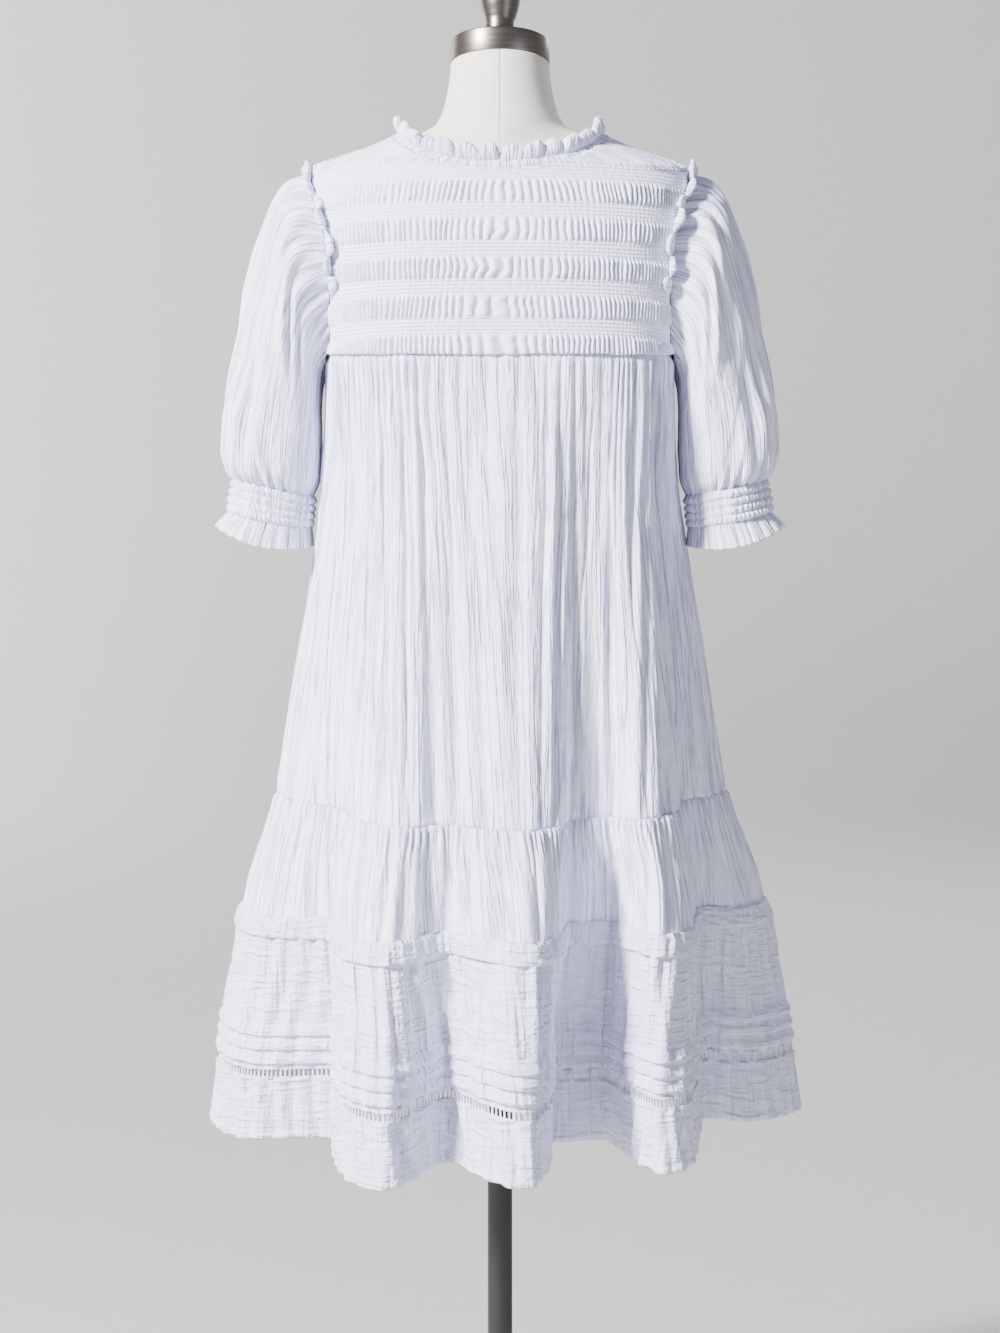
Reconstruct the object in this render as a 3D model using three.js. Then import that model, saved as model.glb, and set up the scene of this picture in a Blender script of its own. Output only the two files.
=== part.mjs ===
// A white double gauze peasant dress on a limbless dress form with a pole stand, in millimetres.
// +Z is up. The garment's back faces -Y and its front +Y, so +X is the wearer's right.
// The origin is the centre of the stand's underside, where it meets the floor.
import * as THREE from "three";

// Cloth and seams
const CLOTH = 1.6; // two layers of crinkled gauze
const SEAM_GAP = 0.4; // between pieces that are sewn to each other
const SEAT_GAP = 0.3; // between hard pieces that stand on each other

// Heights of the garment's own lines above the floor
const NECK_HALF_WIDTH = 97;
const NECK_SIDE_Z = 1466;
const NECK_BACK_Z = 1432.6;
const NECK_FRONT_Z = 1388;
const NECK_BAND = 8.5;
const NECK_BAND_THICKNESS = 2.2;
const SHOULDER_Z = 1428;
const YOKE_SEAM_Z = 1249;
const UNDERARM_DROP = 11;
const TIER_SEAM_Z = 812;
const TIER_SEAM_DIP = 15; // the seam hangs lower at centre back and centre front than at the sides
const TUCK_TOP_Z = 697;
const TUCK_HEIGHT = 21;
const PIN_TUCK_TOP_Z = 590;
const PIN_TUCK_HEIGHT = 14;
const PIN_TUCKS = 3;
const LADDER_TOP_Z = 546;
const LADDER_HEIGHT = 10;
const HEM_Z = 475;
const HEM_FOLD = 8; // from the hem's edge up to its stitching

// Smocking on the yoke: pleated bands with flat shirred bands between them
const SMOCK_TOP_Z = 1413.7;
const SMOCK_PITCH = 37.3;
const SMOCK_BAND = 20;
const SMOCK_BANDS = 5;
const SMOCK_RELIEF = 2.4;

// Ruffles: how far each rises from its seam, and how far its waves swing at the free edge
const NECK_RUFFLE = { rise: 15, swing: 4, lean: 0.06, above: 0.6 };
const ARMHOLE_RUFFLE = {
  turn: 108, // how far it reaches round the armhole from the shoulder, of 180 degrees
  lean: 1.5, // towards the yoke, for each millimetre that it stands out
  rise: 12,
  swing: 2.8,
  above: 2.5, // from the yoke's inner side to the ruffle's root
  inset: 3, // from the yoke's edge to the ruffle's root
};
const CUFF_RUFFLE_SWING = 2.8;

// The sleeve's head, where it turns out of the armhole
const SLEEVE_OVER_YOKE = 3.8; // room for the yoke's wall and the seam under the sleeve
const SLEEVE_LIFT = 4; // the least that the head's inner side stands out, apart from the underarm

// Counts of pleats, gathers and ruffle waves
const BODY_GATHERS = 20; // on each of the back and the front
const TIER_GATHERS = 25; // on each of the back and the front
const NECK_WAVES = 28;
const ARMHOLE_WAVES = 12;
const SLEEVE_GATHERS = 12;
const CUFF_WAVES = 16;

// The garment's girth, level by level: half widths to the side, back and front, and how square it is.
const GIRTH = [
  { z: 475, side: 290, back: 214, front: 212, square: 2.1 },
  { z: 565, side: 279, back: 211, front: 206, square: 2.1 },
  { z: 645, side: 266.5, back: 206, front: 198, square: 2.15 },
  { z: 700, side: 256.5, back: 201, front: 190, square: 2.2 },
  { z: 755, side: 241, back: 194, front: 179, square: 2.2 },
  { z: 800, side: 224, back: 186, front: 168, square: 2.2 },
  { z: 845, side: 215, back: 173, front: 160, square: 2.25 },
  { z: 905, side: 206, back: 159, front: 150, square: 2.3 },
  { z: 965, side: 196, back: 146, front: 141, square: 2.4 },
  { z: 1045, side: 182, back: 127, front: 129, square: 2.55 },
  { z: 1105, side: 174, back: 115, front: 123, square: 2.7 },
  { z: 1155, side: 170, back: 107, front: 121, square: 2.8 },
  { z: 1205, side: 169, back: 101, front: 119, square: 2.9 },
  { z: 1249, side: 170, back: 96, front: 109, square: 2.9 },
  { z: 1313, side: 177, back: 94, front: 98, square: 2.6 },
  { z: 1352, side: 181, back: 92, front: 90, square: 2.5 },
  { z: 1386, side: 185, back: 85, front: 82, square: 2.4 },
  { z: 1412, side: 187, back: 79, front: 76, square: 2.2 },
  { z: 1428, side: 186, back: 74, front: 71, square: 2.0 },
  { z: 1437, side: 165, back: 71, front: 67, square: 2.0 },
  { z: 1448, side: 139, back: 67, front: 61, square: 2.0 },
  { z: 1458, side: 116, back: 63, front: 56, square: 2.0 },
  { z: 1466, side: 98, back: 60, front: 53, square: 2.0 },
];

// The skirt's folds at the hem, in turn round the body: where each lies in degrees from centre back
// towards the wearer's right, how far it stands out from the girth, how far it is swept along it, and
// how far its hem is lifted.
const BACK_FOLDS = [
  { fold: "left side", at: -90, out: 2, along: -30, lift: 2 },
  { fold: "left back panel", at: -72, out: -18, along: 23, lift: 4 },
  { fold: "left valley", at: -50, out: -71, along: 20, lift: 8 },
  { fold: "left lobe edge", at: -36, out: 47, along: 70, lift: -2 },
  { fold: "left lobe crest", at: -25, out: 64, along: 41, lift: -4 },
  { fold: "shallow valley", at: -11, out: -8, along: 8, lift: 8 },
  { fold: "middle lobe crest", at: 6, out: 54, along: -16, lift: -3 },
  { fold: "middle lobe edge", at: 15, out: 10, along: -42, lift: 0 },
  { fold: "middle valley start", at: 21, out: -92, along: -36, lift: 9 },
  { fold: "middle valley end", at: 29, out: -87, along: -14, lift: 9 },
  { fold: "right lobe crest", at: 40, out: 30, along: -58, lift: 0 },
  { fold: "right lobe edge", at: 52, out: 0, along: -67, lift: 2 },
  { fold: "right valley start", at: 60, out: -66, along: -3, lift: 20 },
  { fold: "right valley end", at: 74, out: -29, along: 11, lift: 12 },
  { fold: "right side", at: 90, out: 16, along: 30, lift: 9 },
];
const FRONT_FOLDS = [
  { fold: "right side", at: 90, out: 16, along: 30, lift: 9 },
  { fold: "right front panel", at: 106, out: 11, along: 55, lift: 2 },
  { fold: "right valley", at: 122, out: -22, along: 32, lift: 5 },
  { fold: "right lobe edge", at: 132, out: 27, along: 62, lift: 0 },
  { fold: "right lobe crest", at: 144, out: 36, along: 66, lift: -2 },
  { fold: "first valley start", at: 155, out: -52, along: 20, lift: 7 },
  { fold: "first valley end", at: 166, out: -63, along: 14, lift: 8 },
  { fold: "middle lobe edge", at: 174, out: 21, along: 8, lift: 0 },
  { fold: "middle lobe crest", at: 186, out: 48, along: -12, lift: -3 },
  { fold: "middle lobe end", at: 196, out: 19, along: -19, lift: 0 },
  { fold: "second valley start", at: 203, out: -56, along: -16, lift: 8 },
  { fold: "second valley end", at: 212, out: -46, along: -8, lift: 6 },
  { fold: "left lobe edge", at: 221, out: 25, along: -54, lift: 0 },
  { fold: "left lobe crest", at: 232, out: 30, along: -58, lift: -2 },
  { fold: "left valley", at: 246, out: -16, along: -42, lift: 4 },
  { fold: "left front panel", at: 258, out: 2, along: -58, lift: 2 },
  { fold: "left side", at: 270, out: 2, along: -30, lift: 2 },
];

// How much of each fold is there at a height, and how far the columns of cloth crowd into the folds.
const FOLD_GROWTH = [
  { z: 475, share: 1, crowd: 1 },
  { z: 590, share: 0.84, crowd: 0.85 },
  { z: 700, share: 0.58, crowd: 0.6 },
  { z: 812, share: 0.3, crowd: 0.35 },
  { z: 1000, share: 0.13, crowd: 0.15 },
  { z: 1249, share: 0, crowd: 0 },
];
const FOLD_COLUMN = 31; // width of a column of the lower panels at the hem

// The armhole's edge, as an angle round the girth from centre back, on the way down from the shoulder.
const ARMHOLE = [
  { z: 1249, edge: 75 },
  { z: 1313, edge: 66 },
  { z: 1352, edge: 65 },
  { z: 1386, edge: 70 },
  { z: 1412, edge: 80 },
  { z: 1428, edge: 90 },
];

// The wearer's right sleeve, section by section: the outer and inner ends of each section, and half its depth.
const SLEEVE = [
  { outX: 209, outZ: 1420, inX: 176, inZ: 1222, depth: 56, puff: 2.5 },
  { outX: 225, outZ: 1395, inX: 176.5, inZ: 1207, depth: 59, puff: 2.5 },
  { outX: 240, outZ: 1348, inX: 177, inZ: 1190, depth: 60, puff: 1.5 },
  { outX: 255, outZ: 1292, inX: 177, inZ: 1173, depth: 59, puff: 1.5 },
  { outX: 267, outZ: 1238, inX: 177, inZ: 1157, depth: 58, puff: 2 },
  { outX: 275, outZ: 1194, inX: 177.5, inZ: 1143, depth: 58, puff: 2 },
  { outX: 277.5, outZ: 1160, inX: 178, inZ: 1130, depth: 57, puff: 2.5 },
  { outX: 274.5, outZ: 1139, inX: 181.5, inZ: 1118, depth: 53, puff: 2.5 },
  { outX: 264.5, outZ: 1127.4, inX: 186, inZ: 1109.8, depth: 45, puff: 1 },
];
// The cuff and its ruffle, in the same way. They sag a little between their two ends.
const CUFF = [
  { outX: 264, outZ: 1125.6, inX: 186.5, inZ: 1108, depth: 44, sag: 2 },
  { outX: 271, outZ: 1094, inX: 188.5, inZ: 1078, depth: 45, sag: 3 },
];
const CUFF_RUFFLE = [
  { outX: 270.5, outZ: 1092.9, inX: 189, inZ: 1076.9, depth: 44.5, sag: 3 },
  { outX: 276.5, outZ: 1086, inX: 189.5, inZ: 1066.5, depth: 49, sag: 6 },
  { outX: 280, outZ: 1081, inX: 190, inZ: 1060, depth: 53, sag: 10 },
];
const CUFF_SHIRRS = 4;
const CUFF_RELIEF = 2;

// The dress form, from its flat underside to the top of its neck. A section's centre leans forward up the neck.
const FORM = [
  { z: 815, side: 140, back: 97, front: 96, square: 2.3, lean: 0 },
  { z: 862, side: 147, back: 104, front: 99, square: 2.3, lean: 0 },
  { z: 930, side: 141, back: 98, front: 93, square: 2.3, lean: 0 },
  { z: 1000, side: 123, back: 85, front: 85, square: 2.3, lean: 0 },
  { z: 1062, side: 112, back: 77, front: 83, square: 2.3, lean: 0 },
  { z: 1120, side: 118, back: 80, front: 94, square: 2.3, lean: 0 },
  { z: 1180, side: 129, back: 86, front: 110, square: 2.35, lean: 0 },
  { z: 1249, side: 143, back: 90, front: 103, square: 2.45, lean: 0 },
  { z: 1313, side: 157, back: 91, front: 92, square: 2.45, lean: 0 },
  { z: 1352, side: 168, back: 90, front: 86, square: 2.4, lean: 0 },
  { z: 1386, side: 178, back: 84, front: 79.5, square: 2.3, lean: 0 },
  { z: 1412, side: 183.5, back: 75, front: 71.5, square: 2.1, lean: 0 },
  { z: 1428, side: 184.8, back: 70, front: 64, square: 1.75, lean: 0 },
  { z: 1437, side: 163, back: 66, front: 52, square: 1.55, lean: 0 },
  { z: 1448, side: 136.4, back: 62, front: 44, square: 1.35, lean: 0 },
  { z: 1456, side: 118, back: 58, front: 38, square: 1.3, lean: 0 },
  { z: 1463, side: 96, back: 56, front: 40, square: 1.4, lean: 0 },
  { z: 1469, side: 76, back: 54.5, front: 45, square: 1.6, lean: 1 },
  { z: 1476, side: 64, back: 53, front: 48.5, square: 1.85, lean: 3 },
  { z: 1487, side: 58, back: 51.5, front: 50, square: 2, lean: 6 },
  { z: 1505, side: 53, back: 50.5, front: 50, square: 2, lean: 11 },
  { z: 1520, side: 50.5, back: 49.8, front: 49.8, square: 2, lean: 15 },
  { z: 1537, side: 49, back: 49, front: 49, square: 2, lean: 20 },
];
const NECK_TILT = 11; // degrees that the top of the neck tips forward
const NECK_TILT_START_Z = 1474;

// Hardware
const CAP_RADIUS = 49.5;
const CAP_HEIGHT = 24;
const CAP_BEVEL = 1.5;
const POLE_RADIUS = 12.5;
const COLLAR_RADIUS = 30;
const COLLAR_HEIGHT = 14;
const BASE_RADIUS = 190;
const BASE_THICKNESS = 14;
const SOCKET_RADIUS = 21;
const SOCKET_HEIGHT = 46;
const TURNED_SIDES = 24;

const radians = THREE.MathUtils.degToRad;
const lerp = THREE.MathUtils.lerp;
const clamp = THREE.MathUtils.clamp;
const smoothstep = THREE.MathUtils.smoothstep;
const signedPower = (value, power) => Math.sign(value) * Math.abs(value) ** power;

// A curve through one column of a table, along another, that is smooth and never overshoots a row.
function curve(table, along, column) {
  const x = table.map((row) => row[along]);
  const y = table.map((row) => row[column]);
  const last = x.length - 1;
  const slope = x.slice(1).map((next, i) => (y[i + 1] - y[i]) / (next - x[i]));
  const tangent = x.map((_, i) => {
    if (i === 0) return slope[0];
    if (i === last) return slope[last - 1];
    const product = slope[i - 1] * slope[i];
    return product <= 0 ? 0 : (2 * product) / (slope[i - 1] + slope[i]);
  });
  return (position) => {
    const p = clamp(position, x[0], x[last]);
    let i = 0;
    while (i < last - 1 && p > x[i + 1]) i += 1;
    const width = x[i + 1] - x[i];
    const s = (p - x[i]) / width;
    const rise = s * s * (3 - 2 * s);
    const start = s * (1 - s) * (1 - s) * width * tangent[i];
    const end = s * s * (s - 1) * width * tangent[i + 1];
    return y[i] * (1 - rise) + y[i + 1] * rise + start + end;
  };
}

// A function that gives the level sections of a table such as GIRTH or FORM.
function sections(table) {
  const side = curve(table, "z", "side");
  const back = curve(table, "z", "back");
  const front = curve(table, "z", "front");
  const square = curve(table, "z", "square");
  return (z, at) => {
    const sine = Math.sin(radians(at));
    const cosine = Math.cos(radians(at));
    const power = 2 / square(z);
    const depth = cosine > 0 ? back(z) : front(z);
    return new THREE.Vector3(
      side(z) * signedPower(sine, power),
      -depth * signedPower(cosine, power),
      z,
    );
  };
}
const girth = sections(GIRTH);
const girthSide = curve(GIRTH, "z", "side");
const girthSquare = curve(GIRTH, "z", "square");

const foldShare = curve(FOLD_GROWTH, "z", "share");
const foldCrowd = curve(FOLD_GROWTH, "z", "crowd");

// One half of the skirt between its side seams: its folds, and its columns of cloth from seam to seam.
function skirtHalf(folds) {
  const out = curve(folds, "at", "out");
  const along = curve(folds, "at", "along");
  const lift = curve(folds, "at", "lift");
  const first = folds[0].at;
  const last = folds[folds.length - 1].at;
  const point = (z, at) => {
    const p = girth(z, at);
    const tangent = girth(z, at + 1).sub(girth(z, at - 1)).normalize();
    const outward = new THREE.Vector3(tangent.y, -tangent.x, 0);
    const share = foldShare(z);
    p.addScaledVector(outward, out(at) * share);
    p.addScaledVector(tangent, along(at) * share);
    p.z += lift(at) * share;
    return p;
  };
  // The angle that lies at each share of the hem's length, from a table of steps along it.
  const steps = 180;
  const hem = [{ length: 0, at: first }];
  for (let i = 1; i <= steps; i += 1) {
    const at = lerp(first, last, i / steps);
    const length = hem[i - 1].length + point(HEM_Z, at).distanceTo(point(HEM_Z, hem[i - 1].at));
    hem.push({ length, at });
  }
  const whole = hem[steps].length;
  const hemAt = curve(hem, "length", "at");
  const hemLength = curve(hem, "at", "length");
  const angle = (z, share) => lerp(lerp(first, last, share), hemAt(share * whole), foldCrowd(z));
  // Columns for the lower panels, as shares of the hem's length, with one on each fold of the table.
  const columns = [0];
  folds.slice(1).forEach((fold, i) => {
    const from = hemLength(folds[i].at) / whole;
    const to = hemLength(fold.at) / whole;
    const pieces = Math.max(1, Math.round(((to - from) * whole) / FOLD_COLUMN));
    for (let piece = 1; piece <= pieces; piece += 1) columns.push(lerp(from, to, piece / pieces));
  });
  return { point, angle, columns };
}
const BACK = skirtHalf(BACK_FOLDS);
const FRONT = skirtHalf(FRONT_FOLDS);

// A closed wall of cloth from rows of points on its inner side. Rows run down, and points run
// anticlockwise seen from above. relief(row, column) raises the outer side over the plain inside.
function wall(rows, { ring = false, relief = () => 0, thickness = CLOTH } = {}) {
  const height = rows.length;
  const width = rows[0].length;
  const column = (j) => (ring ? (j + width) % width : clamp(j, 0, width - 1));
  const row = (i) => clamp(i, 0, height - 1);
  const positions = [];
  const outer = [];
  rows.forEach((points, i) => {
    points.forEach((p, j) => {
      const across = rows[i][column(j + 1)].clone().sub(rows[i][column(j - 1)]);
      const down = rows[row(i + 1)][j].clone().sub(rows[row(i - 1)][j]);
      const normal = down.cross(across).normalize();
      positions.push(p.x, p.y, p.z);
      outer.push(...p.clone().addScaledVector(normal, thickness + relief(i, j)).toArray());
    });
  });
  const shift = positions.length / 3;
  const inside = (i, j) => i * width + column(j);
  const outside = (i, j) => shift + inside(i, j);
  const faces = [];
  const quad = (a, b, c, d) => faces.push(a, b, c, a, c, d);
  const columns = ring ? width : width - 1;
  for (let i = 0; i < height - 1; i += 1) {
    for (let j = 0; j < columns; j += 1) {
      quad(outside(i, j), outside(i + 1, j), outside(i + 1, j + 1), outside(i, j + 1));
      quad(inside(i, j), inside(i, j + 1), inside(i + 1, j + 1), inside(i + 1, j));
    }
  }
  for (let j = 0; j < columns; j += 1) {
    quad(inside(0, j), outside(0, j), outside(0, j + 1), inside(0, j + 1));
    const foot = height - 1;
    quad(outside(foot, j), inside(foot, j), inside(foot, j + 1), outside(foot, j + 1));
  }
  if (!ring) {
    for (let i = 0; i < height - 1; i += 1) {
      quad(inside(i, 0), inside(i + 1, 0), outside(i + 1, 0), outside(i, 0));
      const end = width - 1;
      quad(outside(i, end), outside(i + 1, end), inside(i + 1, end), inside(i, end));
    }
  }
  const geometry = new THREE.BufferGeometry();
  geometry.setAttribute("position", new THREE.Float32BufferAttribute([...positions, ...outer], 3));
  geometry.setIndex(faces);
  geometry.computeVertexNormals();
  return geometry;
}

// A closed solid from rings of points, with a flat face over the first and the last.
function capped(rings) {
  const width = rings[0].length;
  const positions = rings.flat().flatMap((p) => p.toArray());
  const faces = [];
  for (let i = 0; i < rings.length - 1; i += 1) {
    for (let j = 0; j < width; j += 1) {
      const next = (j + 1) % width;
      const [a, b] = [i * width + j, i * width + next];
      faces.push(a, a + width, b + width, a, b + width, b);
    }
  }
  const lowest = (rings.length - 1) * width;
  for (let j = 1; j < width - 1; j += 1) {
    faces.push(0, j, j + 1);
    faces.push(lowest, lowest + j + 1, lowest + j);
  }
  const geometry = new THREE.BufferGeometry();
  geometry.setAttribute("position", new THREE.Float32BufferAttribute(positions, 3));
  geometry.setIndex(faces);
  geometry.computeVertexNormals();
  return geometry;
}

// The same points on the other side of the body, still anticlockwise seen from above.
const mirrored = (rows) =>
  rows.map((points) => points.map((p) => new THREE.Vector3(-p.x, p.y, p.z)).reverse());

const material = (color, roughness, metalness = 0) =>
  new THREE.MeshStandardMaterial({ color, roughness, metalness });
const GAUZE = material("#f4f4f6", 0.92);
const LINEN = material("#d9d5cd", 0.85);
const GUNMETAL = material("#5b5653", 0.35, 0.9);

const dress = new THREE.Group();
dress.name = "dress_and_form";
function add(name, geometry, finish) {
  const mesh = new THREE.Mesh(geometry, finish);
  mesh.name = name;
  dress.add(mesh);
  return mesh;
}

// A place on the neckline, or on a line that runs below it down the cloth: its height, and its angle
// round the girth. turn goes round the neck in degrees, from centre back.
function neckPlace(turn, below = 0) {
  const sine = Math.sin(radians(turn));
  const cosine = Math.cos(radians(turn));
  const lowest = cosine > 0 ? NECK_BACK_Z : NECK_FRONT_Z;
  // A line below the neckline runs straight down at centre, and outwards along the shoulders.
  const x = Math.abs(sine) * (NECK_HALF_WIDTH + 0.92 * below);
  const z = lerp(NECK_SIDE_Z, lowest, Math.abs(cosine)) - below * lerp(1, 0.4, sine ** 2);
  const reach = Math.abs(cosine) < 1e-6 ? 1 : Math.min(1, x / girthSide(z));
  const quarter = THREE.MathUtils.radToDeg(Math.asin(reach ** (girthSquare(z) / 2)));
  const half = cosine > 0 ? quarter : 180 - quarter;
  return { z, at: sine < 0 ? -half : half };
}
const armholeAngle = curve(ARMHOLE, "z", "edge");

// Rows of the smocked yoke: the neckline, the shoulder, then the ridge and the foot of each band.
const smockRows = [{ z: SMOCK_TOP_Z, raised: 0 }];
for (let band = 0; band < SMOCK_BANDS; band += 1) {
  const top = SMOCK_TOP_Z - band * SMOCK_PITCH;
  smockRows.push({ z: top - SMOCK_BAND / 2, raised: SMOCK_RELIEF });
  smockRows.push({ z: top - (SMOCK_BAND + SMOCK_PITCH) / 2, raised: 0 });
}
smockRows[smockRows.length - 1].z = YOKE_SEAM_Z + SEAM_GAP / 2;

const YOKE_COLUMNS = 20;
const YOKE_NECK_ROWS = 3;
function yoke(centre) {
  const lowest = smockRows[smockRows.length - 1].z;
  const raised = [0, 0, 0, ...smockRows.map((row) => row.raised)];
  const points = raised.map(() => []);
  for (let j = 0; j <= YOKE_COLUMNS; j += 1) {
    const share = -1 + (2 * j) / YOKE_COLUMNS;
    // At the top each column runs from the neckline to the level of the shoulder tips.
    const neck = neckPlace(centre + 90 * share, NECK_BAND + SEAM_GAP);
    const neckAt = neck.at - centre < -180 ? neck.at + 360 : neck.at;
    const shoulder = { z: Math.min(SHOULDER_Z, neck.z - 5), at: centre + 90 * share };
    const first = Math.min(SMOCK_TOP_Z, shoulder.z - 4);
    for (let i = 0; i < YOKE_NECK_ROWS; i += 1) {
      const down = i / (YOKE_NECK_ROWS - 1);
      points[i].push(girth(lerp(neck.z, shoulder.z, down), lerp(neckAt, shoulder.at, down)));
    }
    // The front's neckline is lower, so its rows of smocking close up towards centre front.
    smockRows.forEach(({ z }, i) => {
      const down = (SMOCK_TOP_Z - z) / (SMOCK_TOP_Z - lowest);
      points[i + YOKE_NECK_ROWS].push(girth(lerp(first, lowest, down), centre + armholeAngle(z) * share));
    });
  }
  // The back and the front are sewn to each other along the shoulders.
  const apart = new THREE.Vector3(0, (Math.cos(radians(centre)) * -SEAM_GAP) / 2, 0);
  points.slice(0, YOKE_NECK_ROWS).forEach((line) => {
    line[0].add(apart);
    line[YOKE_COLUMNS].add(apart);
  });
  const relief = (i, j) => {
    const fromEdge = Math.min(j, YOKE_COLUMNS - j);
    return raised[i] * clamp(fromEdge / 2, 0, 1);
  };
  return wall(points, { relief });
}
add("yoke_back", yoke(0), GAUZE);
add("yoke_front", yoke(180), GAUZE);

// The neck band, which follows the neckline all the way round.
const BAND_COLUMNS = YOKE_COLUMNS * 2;
function neckLine(below) {
  const points = [];
  for (let j = 0; j < BAND_COLUMNS; j += 1) {
    const { z, at } = neckPlace((360 * j) / BAND_COLUMNS, below);
    points.push(girth(z, at));
  }
  return points;
}
const band = [neckLine(0), neckLine(NECK_BAND)];
add("neck_band", wall(band, { ring: true, thickness: NECK_BAND_THICKNESS }), GAUZE);

// Rows of a ruffle from its free edge to the line that it is sewn to. place(j) gives a point of that
// line, the way that the ruffle stands out there and the way that its waves swing.
function ruffleRows({ columns, rise, swing, place }) {
  return [1, 0.5, 0].map((share) => {
    const points = [];
    for (let j = 0; j < columns; j += 1) {
      const { root, out, side } = place(j);
      const wave = j % 2 ? swing : -swing;
      points.push(root.clone().addScaledVector(out, rise * share).addScaledVector(side, wave * share));
    }
    return points;
  });
}

function neckRuffle() {
  const { rise, swing, lean, above } = NECK_RUFFLE;
  const columns = NECK_WAVES * 2;
  const place = (j) => {
    const position = (j * BAND_COLUMNS) / columns;
    const from = Math.floor(position);
    const next = (from + 1) % BAND_COLUMNS;
    const [root, foot] = band.map((line) => line[from].clone().lerp(line[next], position - from));
    const down = foot.sub(root).normalize();
    const side = root.clone().setZ(0).normalize();
    const out = new THREE.Vector3(0, 0, 1).addScaledVector(side, lean).normalize();
    // Where the band lies flat on a shoulder, the ruffle's own thickness has to clear its edge too.
    root.addScaledVector(down, -above - CLOTH * Math.max(0, side.dot(down)));
    return { root, out, side };
  };
  return wall(ruffleRows({ columns, rise, swing, place }), { ring: true });
}
add("neck_ruffle", neckRuffle(), GAUZE);

// The top edge of a body panel, which dips under the arm.
const bodyTop = (share) =>
  YOKE_SEAM_Z - SEAM_GAP / 2 - UNDERARM_DROP * smoothstep(Math.abs(2 * share - 1), 0.82, 1);

// The wearer's right armhole, from the shoulder tip down to the underarm: along the yoke's edge, then
// along the body panel's. facing is 1 for the back and -1 for the front.
function armholeSeam(half, facing) {
  const places = [{ z: SHOULDER_Z, at: 90 }];
  for (const { z } of smockRows) places.push({ z, at: armholeAngle(z) });
  for (const share of [0.95, 0.975, 1]) {
    places.push({ z: bodyTop(share), at: BACK.angle(bodyTop(share), share) });
  }
  const line = places.map(({ z, at }) => {
    const placed = facing > 0 ? at : 180 - at;
    const point = half.point(z, placed);
    const across = half.point(z, placed + 1).sub(half.point(z, placed - 1));
    const down = girth(z - 1, placed).sub(girth(z + 1, placed));
    return { point, normal: down.cross(across).normalize(), length: 0 };
  });
  line.slice(1).forEach((next, i) => {
    next.length = line[i].length + next.point.distanceTo(line[i].point);
  });
  const whole = line[line.length - 1].length;
  return (share) => {
    const length = clamp(share, 0, 1) * whole;
    let i = 0;
    while (i < line.length - 2 && length > line[i + 1].length) i += 1;
    const s = (length - line[i].length) / (line[i + 1].length - line[i].length);
    return {
      point: line[i].point.clone().lerp(line[i + 1].point, s),
      normal: line[i].normal.clone().lerp(line[i + 1].normal, s).normalize(),
    };
  };
}
const backArmhole = armholeSeam(BACK, 1);
const frontArmhole = armholeSeam(FRONT, -1);

// The armhole at a turn in degrees: -90 the underarm, 0 the back, 90 the shoulder and 180 the front.
function armhole(turn) {
  const place = (degrees) =>
    degrees < 90 ? backArmhole((90 - degrees) / 180) : frontArmhole((degrees - 90) / 180);
  const { point, normal } = place(turn);
  const along = place(turn + 2).point.sub(place(turn - 2).point).normalize();
  const inward = along.clone().cross(normal).normalize();
  return { point, normal, along, inward };
}

// A section of the sleeve, its points anticlockwise seen from above with the first at the back.
function sleeveRing(section, columns) {
  const outer = new THREE.Vector3(section.outX, 0, section.outZ);
  const inner = new THREE.Vector3(section.inX, 0, section.inZ);
  const middle = outer.clone().add(inner).multiplyScalar(0.5);
  const half = outer.clone().sub(inner).multiplyScalar(0.5);
  const { depth, sag = 0 } = section;
  const points = [];
  for (let j = 0; j < columns; j += 1) {
    const turn = (2 * Math.PI * j) / columns;
    const p = middle.clone().addScaledVector(half, Math.sin(turn));
    p.y -= depth * Math.cos(turn);
    p.z -= sag * Math.cos(turn) ** 2;
    points.push(p);
  }
  return points;
}

// The sleeve's head starts in the armhole, clear of the yoke's edge, and turns out over it where it puffs.
function sleeveHead(next) {
  return next.map((p, j) => {
    const turn = (360 * j) / next.length;
    const { point, normal, inward } = armhole(turn > 270 ? turn - 360 : turn);
    const way = p.clone().sub(point).normalize();
    const backward = clamp(-way.dot(inward), -1, 0.95);
    const straight = Math.sqrt(1 - backward ** 2);
    const room = SLEEVE_OVER_YOKE + CLOTH * backward - (SEAM_GAP * straight) / backward;
    const over = backward > 0 ? room : 0;
    const lift = SLEEVE_LIFT * (1 - smoothstep(Math.abs(180 - Math.abs(turn - 90)), 15, 50));
    return point
      .addScaledVector(inward, SEAM_GAP + CLOTH * straight)
      .addScaledVector(normal, Math.max(over, lift));
  });
}

function sleeveRows() {
  const columns = SLEEVE_GATHERS * 2;
  const rows = SLEEVE.map((section) => {
    const ring = sleeveRing(section, columns);
    const middle = ring[0].clone().add(ring[columns / 2]).multiplyScalar(0.5);
    // Every other column stands out, which is the gathering at the head and above the cuff.
    return ring.map((p, j) => {
      const way = p.clone().sub(middle).normalize();
      const facesBody = clamp((middle.x - p.x) / 20, 0, 1);
      const puff = (j % 2 ? section.puff : -section.puff) * (1 - facesBody);
      return p.addScaledVector(way, puff - CLOTH);
    });
  });
  return [sleeveHead(rows[0]), ...rows];
}

// The cuff is drawn in by rows of shirring, which raise ridges round it.
function cuffRows() {
  const [top, bottom] = CUFF;
  const rows = [];
  for (let i = 0; i <= CUFF_SHIRRS; i += 1) {
    const section = {};
    for (const key of Object.keys(top)) section[key] = lerp(top[key], bottom[key], i / CUFF_SHIRRS);
    rows.push(sleeveRing(section, SLEEVE_GATHERS * 2));
  }
  return rows;
}
const cuffRelief = (i) => (i % 2 ? CUFF_RELIEF : 0);

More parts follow.
